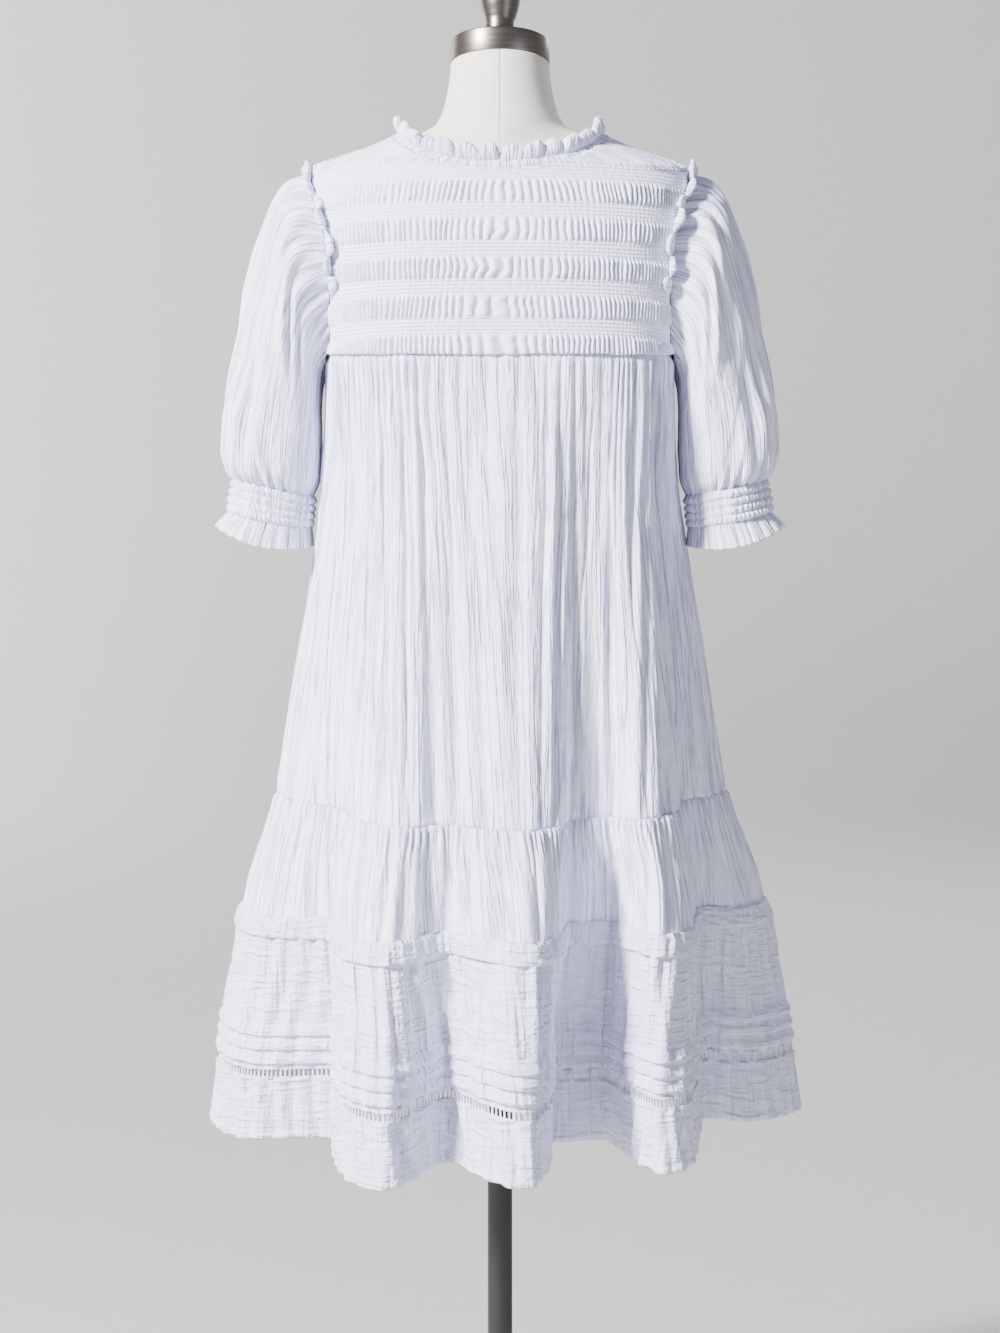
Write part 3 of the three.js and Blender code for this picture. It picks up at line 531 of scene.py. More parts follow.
def double_gauze():
    """Cotton double gauze, woven and crinkle washed: matte white, with thin upright creases that are
    coloured darker as painted shade.
    """
    material = new_material("cotton_double_gauze_crinkled")
    place = node(material, "ShaderNodeTexCoord").outputs["UV"]
    long = creases(material, place, 10, 240, 0.06)
    short = creases(material, place, 4.5, 40, 0.1)
    ripple = uneven(material, place, 24, 3.2)
    weave = uneven(material, place, 1.2, 1.2)
    height = total(material, (0.7, long), (0.35, short), (0.5, ripple), (0.25, weave))
    # The creases are coloured darker by their depth: painted shade.
    depth = total(material, (0.7, long), (0.3, short))
    tint = blend(material, depth, PAINTED_CREASE_SHADE, WHITE)
    return surfaced(material, tint, height, 1.15, 0.92, specular=0.2, sheen=0.1)


def puckered_gauze():
    """Cotton double gauze, puckered between tucks: a loose net of creases up and across, coloured darker
    as painted shade.
    """
    material = new_material("cotton_double_gauze_puckered")
    place = node(material, "ShaderNodeTexCoord").outputs["UV"]
    upright = creases(material, place, 11, 120, 0.19)
    level = creases(material, place, 50, 9, 0.2)
    short = creases(material, place, 6, 8, 0.22)
    weave = uneven(material, place, 1.2, 1.2)
    height = total(material, (0.9, upright), (0.7, level), (0.3, short), (0.12, weave))
    # The creases are coloured a darker lavender: painted shade.
    depth = total(material, (0.5, upright), (0.3, level), (0.2, short))
    tint = blend(material, depth, "#d2d2e8", WHITE)
    return surfaced(material, tint, height, 1.8, 0.92, specular=0.2, sheen=0.1)


def smocked_gauze():
    """Cotton double gauze, smocked by machine: creases between rows of elastic stitching, with painted
    shade in the creases.
    """
    material = new_material("cotton_double_gauze_smocked")
    place = node(material, "ShaderNodeTexCoord").outputs["UV"]
    apart = node(material, "ShaderNodeSeparateXYZ", {0: place})
    across, down = apart.outputs[0], apart.outputs[1]
    # Pleats lie SMOCK_PLEAT apart, because the UV map follows them.
    inputs = {0: across, 1: 1000 * math.pi / SMOCK_PLEAT}
    turn = node(material, "ShaderNodeMath", inputs, operation="MULTIPLY")
    turn = node(material, "ShaderNodeMath", {0: turn.outputs[0]}, operation="SINE")
    pleats = node(material, "ShaderNodeMath", {0: turn.outputs[0]}, operation="ABSOLUTE")
    inputs = {"Value": pleats.outputs[0], "From Max": 0.6}
    pleats = node(material, "ShaderNodeMapRange", inputs).outputs[0]
    cells = uneven(material, place, 2.0, 4.0)
    # Elastic rows lie STITCH_PITCH apart between the bands of pleats.
    inputs = {0: down, 1: 2000 * math.pi / STITCH_PITCH}
    row = node(material, "ShaderNodeMath", inputs, operation="MULTIPLY")
    row = node(material, "ShaderNodeMath", {0: row.outputs[0]}, operation="SINE").outputs[0]
    band = node(material, "ShaderNodeMath", {0: down, 1: 1000 / SMOCK_PITCH}, operation="MULTIPLY")
    inputs = {0: band.outputs[0], 1: 1.0}
    band = node(material, "ShaderNodeMath", inputs, operation="FLOORED_MODULO")
    edges = {"Value": band.outputs[0], "From Min": 0.46, "From Max": 0.42}
    flat = node(material, "ShaderNodeMapRange", edges).outputs[0]
    row = node(material, "ShaderNodeMath", {0: row, 1: flat}, operation="MULTIPLY").outputs[0]
    pleats = node(material, "ShaderNodeMath", {0: pleats, 1: flat}, operation="MAXIMUM").outputs[0]
    height = total(material, (0.3, pleats), (0.3, row), (0.9, cells))
    # Painted shade: the pleats' hollows and the low puckers are coloured darker, and the elastic rows a
    # little.
    shade = total(material, (0.65, pleats), (0.1, row), (0.6, cells))
    tint = blend(material, shade, "#a3a3c2", WHITE)
    return surfaced(material, tint, height, 1.2, 0.92, specular=0.2, sheen=0.1)


COVER_WIDTH = 432


def linen_cover():
    """Linen, plain woven and stretched over the form: matte, with a fine even thread."""
    material = new_material("linen_woven_cover")
    place = node(material, "ShaderNodeTexCoord").outputs["UV"]
    # Threads are 0.6 mm apart, and are drawn at 1.5 mm so that they show.
    weave = uneven(material, place, 1.5, 1.5)
    # Seams run up centre back and centre front, which are half the cover's width apart.
    across = node(material, "ShaderNodeSeparateXYZ", {0: place}).outputs[0]
    inputs = {0: across, 1: COVER_WIDTH * MM / 4}
    off = node(material, "ShaderNodeMath", inputs, operation="PINGPONG").outputs[0]
    seam = node(material, "ShaderNodeMapRange", {"Value": off, "From Min": 0.0003, "From Max": 0.0011})
    height = total(material, (0.3, weave), (1.0, seam.outputs[0]))
    shade = total(material, (0.5, weave), (0.5, seam.outputs[0]))
    tint = blend(material, shade, "#a9a398", "#e6e1d8")
    return surfaced(material, tint, height, 0.4, 0.88, specular=0.25)


def brushed_gunmetal():
    """Steel, plated gunmetal and brushed round its axis: fine level streaks in the gloss."""
    material = new_material("steel_gunmetal_brushed")
    place = node(material, "ShaderNodeTexCoord").outputs["Object"]
    # Brush marks are 0.5 mm apart up the side, and run 60 mm round it.
    marks = uneven(material, place, 60, 60, 0.5)
    tint = blend(material, marks, "#453f3b", "#8d857e")
    rough = node(material, "ShaderNodeMapRange", {"Value": marks, "To Min": 0.24, "To Max": 0.42})
    return surfaced(material, tint, marks, 0.02, rough.outputs[0], metallic=0.95)


def powder_coat():
    """Steel, powder coated: a satin near-black with a fine orange peel."""
    material = new_material("steel_powder_coated")
    place = node(material, "ShaderNodeTexCoord").outputs["Object"]
    # The orange peel is about 1.5 mm from crest to crest.
    peel = uneven(material, place, 1.5, 1.5, 1.5)
    tint = blend(material, peel, "#131312", "#1d1c1b")
    return surfaced(material, tint, peel, 0.04, 0.4)


def painted_plaster():
    """Plaster, painted matte grey: a faint roller texture."""
    material = new_material("plaster_painted")
    place = node(material, "ShaderNodeTexCoord").outputs["Object"]
    texture = uneven(material, place, 40, 40, 40)
    tint = blend(material, texture, "#b2b1af", "#b8b7b5")
    return surfaced(material, tint, texture, 0.1, 0.95)


GAUZE = double_gauze()
PUCKERED = puckered_gauze()
SMOCKED = smocked_gauze()
LINEN = linen_cover()
GUNMETAL = brushed_gunmetal()
POWDER = powder_coat()


def dress_piece(piece, cad_node, material=None):
    """Finishes a cloth piece: its material, its body and its CAD node.
    """
    piece.data.materials.append(material or GAUZE)
    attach(piece, "root")
    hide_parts(cad_node)


def lowest(height, step, ring):
    """The lowest relief within step cells of each point."""
    low = height
    for axis in (0, 1):
        wide = [(0, 0), (0, 0)]
        wide[axis] = (step, step)
        padded = np.pad(low, wide, mode="wrap" if ring and axis else "edge")
        count = height.shape[axis]
        slices = [np.take(padded, range(k, k + count), axis) for k in range(2 * step + 1)]
        low = np.minimum.reduce(slices)
    return low


def raised(grid, height, ring=False, step=4):
    """A cloth wall's outer and inner grids. height is the relief over its outer side."""
    normal = normals(grid, ring)
    outer = grid + normal * (CLOTH + height)[..., None]
    inner = grid + normal * (CLOTH - SKIN + lowest(height, step, ring))[..., None]
    return outer, inner


# The yoke


def neck_place(turn, below=0.0):
    """A place on the neckline, or on a line below it: its height and its angle round the girth."""
    sine, cosine = np.sin(np.radians(turn)), np.cos(np.radians(turn))
    middle_z = np.where(cosine > 0, NECK_BACK_Z, NECK_FRONT_Z)
    x = np.abs(sine) * (NECK_HALF_WIDTH + 0.92 * below)
    z = lerp(NECK_SIDE_Z, middle_z, np.abs(cosine)) - below * lerp(1, 0.4, sine**2)
    reach = np.where(np.abs(cosine) < 1e-6, 1, np.minimum(1, x / girth_side(z)))
    quarter = np.degrees(np.arcsin(reach ** (girth_square(z) / 2)))
    half = np.where(cosine > 0, quarter, 180 - quarter)
    return z, np.where(sine < 0, -half, half)


SEAM_GAP = 0.4
YOKE_MM_PER_DEGREE = 2.6
YOKE_HALF_WIDTH = 168
YOKE_BOW = 5
YOKE_SMOCK_ROWS = 84
YOKE_NECK_ROWS = 24


def smocking(across, below, seed):
    """The smocking's relief, with wavy pleats in bands and shirred bands between, and its UV across."""
    wander = 0.2 * noise(across / 15, below / 12, seed) + 0.14 * noise(across / 8, below / 7, seed + 1)
    spacing = 0.8 * noise(across / 23, np.floor((below + 5) / SMOCK_PITCH) + 0.5, seed + 2)
    phase = across / SMOCK_PLEAT + wander + spacing
    depth = 0.75 + 0.25 * noise(across / 9, below / 25, seed + 3)
    pleat = np.abs(np.sin(np.pi * phase)) ** 0.9 * depth
    in_band = np.mod(below, SMOCK_PITCH)
    band = smoothstep(-1.2, 2.4, in_band) * (1 - smoothstep(SMOCK_BAND - 2.4, SMOCK_BAND + 1.2, in_band))
    band = band + smoothstep(SMOCK_PITCH - 1.2, SMOCK_PITCH + 2.4, in_band)
    stitches = 0.5 + 0.5 * np.cos(2 * np.pi * (in_band - SMOCK_BAND) / STITCH_PITCH)
    flat = 0.9 + 0.3 * np.abs(np.sin(np.pi * phase)) - 0.3 * stitches
    return SMOCK_RELIEF * pleat * band + (1 - band) * flat, phase * SMOCK_PLEAT


def yoke_grid(centre, columns):
    """The yoke's inner points from the neckline down to its seam.

    Each point's distance below the first smocked band, its angle from the yoke's middle and its
    share of the way from there to the edge come with them.
    """
    foot_z = YOKE_SEAM_Z - 0.6
    share = np.linspace(-1, 1, columns)[None, :]
    neck_z, neck_at = neck_place(centre + 90 * share, NECK_BAND - 1.5)
    neck_at = np.where(neck_at - centre < -180, neck_at + 360, neck_at)
    shoulder_z = np.minimum(SHOULDER_Z, neck_z - 5)
    first = np.minimum(SMOCK_TOP_Z, shoulder_z - 4)
    shoulder_at = centre + 90 * share
    first_at = centre + armhole_edge(np.full_like(share, SMOCK_TOP_Z)) * share
    upper, lower = YOKE_NECK_ROWS * 2 // 3, YOKE_NECK_ROWS // 3
    s = np.linspace(0, 1, upper, endpoint=False)[:, None]
    t = np.linspace(0, 1, lower, endpoint=False)[:, None]
    down = np.linspace(0, 1, YOKE_SMOCK_ROWS + 1)[:, None]
    level = lerp(SMOCK_TOP_Z, foot_z, down)
    z = np.concatenate(
        [lerp(neck_z, shoulder_z, s), lerp(shoulder_z, first, t), lerp(first, foot_z, down)]
    )
    at = np.concatenate(
        [
            lerp(neck_at, shoulder_at, s),
            lerp(shoulder_at, first_at, t),
            centre + armhole_edge(level) * share,
        ]
    )
    # How far each row lies above the first smocked band. The upper rows bend with the neckline.
    above = np.concatenate(
        [
            lerp(neck_z, shoulder_z, s) - SMOCK_TOP_Z,
            lerp(shoulder_z, first, t) - SMOCK_TOP_Z,
            lerp(0, foot_z - SMOCK_TOP_Z, down) + 0 * share,
        ]
    )
    return girth(z, at), -above, at - centre, share


def yoke(half, centre, columns, seed):
    grid, below, degrees, share = yoke_grid(centre, columns)
    across = degrees * YOKE_MM_PER_DEGREE
    # The bands of smocking bow, because the yoke hangs lower in its middle.
    bowed = below - YOKE_BOW * (across / YOKE_HALF_WIDTH) ** 2
    relief, cloth_across = smocking(across, bowed, seed)
    edge = smoothstep(0, 0.02, 1 - np.abs(share))
    # The yoke is folded under at its foot, where it stands over the body's gathers.
    above_foot = grid[..., 2] - YOKE_SEAM_Z
    foot = 0.8 * smoothstep(9, 4, above_foot) - 1.2 * smoothstep(1.5, -2.5, above_foot)
    sag = 3.2 + 1.6 * noise(across / 18, 0 * across, seed + 7)
    drop = (1 - share**2) * sag * smoothstep(12, 0, above_foot)
    grid = grid - np.array([0, 0, 1]) * drop[..., None]
    outer, inner = raised(grid, relief * edge + foot - 0.4)
    piece = shell(f"yoke_{half}_cloth", outer, inner, step=4, cloth=(cloth_across, bowed))
    dress_piece(piece, f"yoke_{half}", material=SMOCKED)


yoke("back", 0, 4 * 118 + 1, 11)
yoke("front", 180, 4 * 84 + 1, 31)


# The neck band and the ruffles


def band_line(turn, below):
    z, at = neck_place(turn, below)
    return girth(z, at)


NECK_MM_PER_DEGREE = 1.55


def neck_band():
    columns = 480
    turn = np.arange(columns) * 360 / columns
    levels = np.linspace(-0.8, NECK_BAND + 0.8, 13)
    grid = np.stack([band_line(turn, level) for level in levels])
    across = turn * NECK_MM_PER_DEGREE
    down = levels[:, None]
    rounded = 1.1 * np.sqrt(np.clip(1 - (2 * (down - NECK_BAND / 2) / (NECK_BAND + 3)) ** 2, 0, 1))
    seam = -1.5 * np.exp(-(((down - NECK_BAND + 1.0) / 0.9) ** 2))
    crinkle = 0.5 * noise(across / 2.6, down / 2.4, 51) + 0.6 * noise(across / 7, down / 5, 52)
    outer, inner = raised(grid, rounded + seam + crinkle, ring=True)
    piece = shell("neck_band_cloth", outer, inner, ring=True, step=4)
    dress_piece(piece, "neck_band")


neck_band()


def ruffle(root, out, side, along, waves, rise, swing, seed, ring, pinch, sway):
    """Sections of a doubled ruffle that stands in rounded puffs, with tight gathers between.

    rise is its height, swing its fullness, pinch how low it is at a gather, and sway how far its
    edge winds from side to side.
    """
    count = len(root)
    position = np.arange(count) * waves / (count if ring else count - 1)
    wander = 0.17 * noise(position * 0.8, 0 * position, seed)
    wander = wander * smoothstep(0, 1, np.minimum(position, waves - position))
    position = np.clip(position + wander, 0, waves - 1e-6)
    wave = np.floor(position).astype(int)
    c = position - wave - 0.5
    rng = np.random.default_rng(seed)
    puff = np.clip(np.cos(np.pi * c), 0, 1) ** 0.9
    tall = (rise * rng.uniform(0.84, 1.1, waves))[wave] * lerp(1 - pinch, 1, puff)
    fat = (swing * rng.uniform(0.8, 1.2, waves))[wave]
    lean = (sway * swing * rng.uniform(0.3, 1.2, waves) * np.where(np.arange(waves) % 2, 1, -1))[wave]
    # Each puff has a crease off its middle, and leans over its neighbour.
    middle = rng.uniform(-0.2, 0.2, waves)[wave]
    pitch = np.linalg.norm(np.diff(root, axis=0), axis=1).mean() * count / waves
    turn = np.linspace(-np.pi, np.pi, 25)[:-1][:, None]
    up = (1 + np.cos(turn)) / 2
    crease = 1 - 0.45 * np.exp(-(((c - middle * (0.4 + 0.6 * up)) / 0.07) ** 2)) * up
    half = signed_power(np.sin(turn), 0.8) * up**0.3 * (1.2 + fat * puff) * crease
    swung = up**1.3 * lean * puff
    spread = pitch * up * (0.1 * np.sin(2 * np.pi * c) + 0.25 * middle * puff)
    return (
        root[None]
        + out[None] * (up * tall * (0.93 + 0.07 * crease))[..., None]
        + side[None] * (half + swung)[..., None]
        + along[None] * spread[..., None]
    )


def tube(name, grid, ring):
    """A closed skin round a grid of sections, each a closed loop of points."""
    loops, count = grid.shape[:2]
    points = grid.reshape(-1, 3)
    wide = count if ring else count - 1
    i, j = np.meshgrid(np.arange(loops), np.arange(wide), indexing="ij")
    i, j = i.ravel(), j.ravel()
    corners = [(i, j), (i + 1, j), (i + 1, j + 1), (i, j + 1)]
    faces = np.stack([a % loops * count + b % count for a, b in corners], 1).tolist()
    u = np.concatenate([[0], np.cumsum(np.linalg.norm(np.diff(grid, axis=1), axis=2).mean(0))])
    u = np.concatenate([u, [u[-1] * (1 + 1 / count)]]) * MM
    v = np.linspace(0, 0.04, loops + 1)
    uvs = np.stack([np.stack([u[b], v[a]], 1) for a, b in corners], 1).reshape(-1, 2)
    if not ring:
        for end in (0, count - 1):
            loop = [a * count + end for a in range(loops)]
            faces.append(loop if end else loop[::-1])
            uvs = np.concatenate([uvs, np.zeros((loops, 2))])
    return add_mesh(name, points, faces, uvs, np.ones(len(faces), bool))


NECK_WAVES = 28
ARMHOLE_WAVES = 14


def neck_ruffle():
    columns = NECK_WAVES * 20
    turn = np.arange(columns) * 360 / columns
    root = band_line(turn, 0.0)
    foot = band_line(turn, NECK_BAND)
    down = unit(foot - root)
    side = unit(root * np.array([1, 1, 0]))
    out = unit(np.array([0, 0, 1]) + 0.06 * side)
    along = unit(np.roll(root, -1, 0) - np.roll(root, 1, 0))
    root = root - down * 0.3 + side * 1.2
    edge = root, out, side, along
    grid = ruffle(*edge, NECK_WAVES, rise=18, swing=5.4, seed=61, ring=True, pinch=0.7, sway=0.45)
    piece = tube("neck_ruffle_cloth", grid, True)
    dress_piece(piece, "neck_ruffle")


neck_ruffle()


def body_top(share):
    """The armhole's foot, where the sleeve is sewn on."""
    return YOKE_SEAM_Z - SEAM_GAP / 2 - UNDERARM_DROP * smoothstep(0.82, 1, np.abs(2 * share - 1))


def cloth_top(share):
    """The body cloth's top, which runs on behind the yoke's corners before it falls."""
    return YOKE_SEAM_Z - SEAM_GAP / 2 - UNDERARM_DROP * smoothstep(0.93, 1, np.abs(2 * share - 1))


def armhole_seam(half, facing):
    """The armhole from the shoulder tip to the underarm, as points and normals at even lengths."""
    z = np.concatenate([[SHOULDER_Z], np.linspace(SMOCK_TOP_Z, YOKE_SEAM_Z + SEAM_GAP / 2, 11)])
    at = armhole_edge(z)
    share = np.array([0.95, 0.975, 1.0])
    low_z = body_top(share)
    z, at = np.concatenate([z, low_z]), np.concatenate([at, BACK.angle(low_z, share)])
    placed = at if facing > 0 else 180 - at
    point = half.point(z, placed)
    across = half.point(z, placed + 1) - half.point(z, placed - 1)
    down = girth(z - 1, placed) - girth(z + 1, placed)
    normal = unit(np.cross(down, across))
    length = np.concatenate([[0], np.cumsum(np.linalg.norm(np.diff(point, axis=0), axis=1))])
    return length / length[-1], point, normal


ARMHOLE_BACK = armhole_seam(BACK, 1)
ARMHOLE_FRONT = armhole_seam(FRONT, -1)


def armhole(turn):
    """The armhole at a turn: -90 the underarm, 0 the back, 90 the shoulder and 180 the front."""

    def place(degrees):
        found = []
        for line, share in (
            (ARMHOLE_BACK, (90 - degrees) / 180),
            (ARMHOLE_FRONT, (degrees - 90) / 180),
        ):
            length, point, normal = line
            found.append(
                [
                    np.stack([np.interp(share, length, values[:, k]) for k in range(3)], -1)
                    for values in (point, normal)
                ]
            )
        behind = (degrees < 90)[..., None]
        return [np.where(behind, found[0][k], found[1][k]) for k in (0, 1)]

    point, normal = place(turn)
    normal = unit(normal)
    along = unit(place(turn + 2)[0] - place(turn - 2)[0])
    return point, normal, along, unit(np.cross(along, normal))


ARMHOLE_RUFFLE_TURN = 108
ARMHOLE_RUFFLE_LEAN = 1.5


def armhole_ruffles():
    count = ARMHOLE_WAVES * 15 + 1
    turn = 90 + np.linspace(-ARMHOLE_RUFFLE_TURN, ARMHOLE_RUFFLE_TURN, count)
    point, normal, along, inward = armhole(turn)
    root = point + normal * 2.6 - inward * 2.0
    out = unit(normal - inward * ARMHOLE_RUFFLE_LEAN)
    side = unit(normal * ARMHOLE_RUFFLE_LEAN + inward)
    ends = smoothstep(0, 0.05, np.minimum(np.linspace(0, 1, count), np.linspace(1, 0, count)))
    root = root - normal * (1.4 * (1 - ends))[:, None]
    edge = root, out, side, along
    grid = ruffle(*edge, ARMHOLE_WAVES, rise=16, swing=3.6, seed=71, ring=False, pinch=0.22, sway=1.3)
    centre = root[None] + 0 * grid
    grid = lerp(centre, grid, (0.35 + 0.65 * ends)[None, :, None])
    for name, facing in (("right", 1), ("left", -1)):
        placed = grid if facing > 0 else mirrored(grid)
        piece = tube(f"armhole_ruffle_{name}_cloth", placed, False)
        dress_piece(piece, f"armhole_ruffle_{name}")


armhole_ruffles()


# The sleeves


def sleeve_ring(values, row, columns):
    """Sections of a sleeve at fractional rows of its table, with the first point at the back."""
    read = {key: curve(values, "row", key)(row)[:, None] for key in values if key != "row"}
    turn = 2 * np.pi * np.arange(columns)[None, :] / columns
    middle_x, half_x = (read["out_x"] + read["in_x"]) / 2, (read["out_x"] - read["in_x"]) / 2
    middle_z, half_z = (read["out_z"] + read["in_z"]) / 2, (read["out_z"] - read["in_z"]) / 2
    drop = read["sag"] * np.cos(turn) ** 2 if "sag" in read else 0
    x = middle_x + half_x * np.sin(turn)
    y = -read["depth"] * np.cos(turn)
    z = middle_z + half_z * np.sin(turn) - drop
    return np.stack(np.broadcast_arrays(x, y, z), -1)


SLEEVE_OVER_YOKE = 3.8
SLEEVE_LIFT = 4


def sleeve_head(first):
    """The sleeve's edge in the armhole, turned out over the yoke where the sleeve puffs."""
    columns = first.shape[0]
    turn = 360 * np.arange(columns) / columns
    point, normal, along, inward = armhole(np.where(turn > 270, turn - 360, turn))
    way = unit(first - point)
    backward = np.clip(-(way * inward).sum(-1), -1, 0.95)
    straight = np.sqrt(1 - backward**2)
    safe = np.where(backward > 0, backward, 1)
    room = SLEEVE_OVER_YOKE + CLOTH * backward - SEAM_GAP * straight / safe
    over = np.where(backward > 0, room, 0)
    lift = SLEEVE_LIFT * (1 - smoothstep(15, 50, np.abs(180 - np.abs(turn - 90))))
    out = np.maximum(over, lift)
    return point + inward * (SEAM_GAP + CLOTH * straight)[:, None] + normal * out[:, None]


SLEEVE_GIRTH = 330
SLEEVE_COLUMNS = 288
SLEEVE_ROWS = 63


def sleeve_grid():
    row = np.linspace(2, 9, SLEEVE_ROWS)
    body = sleeve_ring(SLEEVE, row, SLEEVE_COLUMNS)
    head = sleeve_head(body[0])
    first, second, third = sleeve_ring(SLEEVE, np.array([1.0, 2.0, 3.0]), SLEEVE_COLUMNS)
    # The head's cloth rises out of the seam before it falls, so that it puffs.
    leave, arrive = 2.2 * (first - head), 0.8 * (third - first)
    s = np.linspace(0, 1, 18, endpoint=False)[:, None, None]
    over = (1 + 2 * s) * (1 - s) ** 2 * head + s * (1 - s) ** 2 * leave
    over = over + s * s * (3 - 2 * s) * second + s * s * (s - 1) * arrive
    body[-1] += 3.2 * unit(body[-1] - body[-2])
    return np.concatenate([over, body])


def both_sides(name, outer, inner, step):
    """The wearer's right piece, and its mirror image on the left."""
    for side, a, b in (("right", outer, inner), ("left", mirrored(outer), mirrored(inner))):
        piece = shell(f"{name}_{side}_cloth", a, b, ring=True, step=step)
        dress_piece(piece, f"{name}_{side}")


def sleeves():
    grid = sleeve_grid()
    columns = grid.shape[1]
    middle = grid.mean(1, keepdims=True)
    ring = np.arange(columns)[None, :] / columns
    lengths = np.linalg.norm(np.diff(grid[:, columns // 4], axis=0), axis=1)
    down = np.concatenate([[0], np.cumsum(lengths)])[:, None]
    whole = down[-1, 0]
    circle = np.cos(2 * np.pi * ring), np.sin(2 * np.pi * ring)

    def loop_noise(size, length, seed):
        """Noise that closes round the sleeve, size by length millimetres."""
        radius = SLEEVE_GIRTH / (2 * np.pi * size)
        return noise(circle[0] * radius + 40, circle[1] * radius + down / length, seed)

    faces_body = np.clip((middle[..., 0] - grid[..., 0]) / 20, 0, 1)
    free = 1 - 0.85 * faces_body
    near_head = 1 - smoothstep(0, 75, down)
    near_cuff = smoothstep(whole - 60, whole - 6, down)
    drawn_in = 1 - 0.55 * smoothstep(whole - 7, whole, down)
    pleat = np.cos(2 * np.pi * (ring * 27 + 0.9 * loop_noise(50, 90, 81)))
    deep = 2 * np.abs(np.sin(np.pi * (ring * 22 + 1.2 * loop_noise(45, 60, 82)))) ** 0.7 - 1
    phase = 11 * ring + 1.3 * loop_noise(60, 150, 86)
    folds = 1.8 * np.cos(2 * np.pi * phase) * (0.5 + 0.9 * loop_noise(50, 110, 87))
    folds = folds + 4.8 * loop_noise(30, 105, 83) + 2.0 * loop_noise(14, 40, 84)
    relief = 1.8 * near_head * pleat + 3.6 * near_cuff**1.5 * deep * drawn_in
    relief = relief + folds * smoothstep(0, 30, down) * (1 - smoothstep(whole - 25, whole, down))
    relief = relief + 0.5 * loop_noise(5, 16, 85)
    outer, inner = raised(grid, relief * free - CLOTH, ring=True)
    both_sides("sleeve", outer, inner, 4)


sleeves()


CUFF_BANDS = 4
CUFF_HEIGHT = 34
CUFF_GIRTH = 262


def cuffs():
    columns, rows = 400, 25
    grid = sleeve_ring(CUFF, np.linspace(0, 1, rows), columns)
    grid[0] += 2.4 * unit(grid[0] - grid[1])
    turn = np.arange(columns)[None, :] / columns
    down = np.linspace(0, CUFF_HEIGHT, rows)[:, None]
    around = turn * CUFF_GIRTH
    band_height = CUFF_HEIGHT / CUFF_BANDS
    inside = np.mod(down, band_height) / band_height
    pad = np.sin(np.pi * inside) ** 0.6
    wander = 0.5 * noise(around / 14, down / 9, 91)
    band = np.floor(down / band_height)
    pleat = np.abs(np.sin(np.pi * (around / 4.6 + 1.3 * wander + 0.37 * band))) ** 0.9
    # The elastic bunches the cloth most at the back and at the front of the arm.
    at_back, at_front = (turn - 0.02) / 0.13, (turn - 0.55) / 0.2
    strong = 0.45 + 0.55 * np.exp(-(at_back**2)) + 0.4 * np.exp(-(at_front**2))
    strong = np.clip(strong + 0.6 * noise(around / 26, band + 0.5, 93), 0.1, 1.2)
    relief = pad * (1.6 + 2.4 * pleat * strong) + 0.7 * noise(around / 12, down / 6, 92)
    outer, inner = raised(grid, relief - 0.6, ring=True)
    both_sides("cuff", outer, inner, 4)


cuffs()


def cuff_ruffles():
    columns, rows, pleats = 448, 17, 22
    grid = sleeve_ring(CUFF_RUFFLE, np.linspace(0, 2, rows), columns)
    grid[0] += 2.4 * unit(grid[0] - grid[1])
    turn = np.arange(columns)[None, :] / columns
    share = np.linspace(0, 1, rows)[:, None]
    middle = grid.mean(1, keepdims=True)
    way = unit((grid - middle) * np.array([1, 1, 0]))
    position = turn * pleats + 0.22 * noise(turn * 20 + 0.5, 0 * turn, 95) * np.sin(np.pi * turn)
    flute = np.floor(position).astype(int) % pleats
    c = position - np.floor(position) - 0.5
    rng = np.random.default_rng(96)
    wide = rng.uniform(0.75, 1.2, pleats)[flute]
    wave = (1.8 * np.cos(np.pi * c) ** 0.45 - 1.0) * wide
    hem = -0.6 * np.exp(-(((share - 0.78) / 0.03) ** 2))
    swing = lerp(0.8, 5.2, share**0.8) * wave + hem
    tangent = unit(np.roll(grid, -1, 1) - np.roll(grid, 1, 1))
    # Each flute is wider at the hem than its share, so that it laps over the gap beside it.
    sweep = share * 2.4 * np.sin(2 * np.pi * c)
    scallop = 2.6 * share * (np.cos(np.pi * c) ** 0.6 - 0.6)
    outer = grid + way * (swing + 1.0)[..., None] + tangent * sweep[..., None]
    outer = outer - np.array([0, 0, 1]) * scallop[..., None]
    inner = outer - way * 1.0
    both_sides("cuff_ruffle", outer, inner, 2)


cuff_ruffles()


# The skirt


def skirt_grid(half, top, bottom, rows, columns, levels=None):
    """Inner points of a skirt panel, each one's height before it is folded, and its share across."""
    share = np.linspace(0, 1, columns)[None, :]
    s = (np.linspace(0, 1, rows) if levels is None else levels)[:, None]
    top_z = top(share) if callable(top) else top + 0 * share
    z = lerp(top_z, bottom, s)
    share = share + 0 * z
    return half.grid(z, share), z, share


def valleys(x, y, seed, width=0.35):
    """Thin wandering valleys in level cloth: 0 in a valley and 1 between valleys."""
    return np.sqrt(np.clip(np.abs(noise(x, y, seed)) / width, 0, 1))


def across_cloth(grid, share):
    """Each point's distance across the cloth in millimetres, by the length of the middle row."""
    steps = np.linalg.norm(np.diff(grid[len(grid) // 2], axis=0), axis=1)
    return share * steps.sum()


def soft_folds(u, v, pitch, length, seed):
    """Rounded upright folds of uneven width and depth, from -1 to 1."""
    phase = u / pitch + 0.9 * noise(u / (3 * pitch), v / length, seed)
    return np.cos(2 * np.pi * phase) * (0.65 + 0.35 * noise(u / (2 * pitch), v / length, seed + 1))


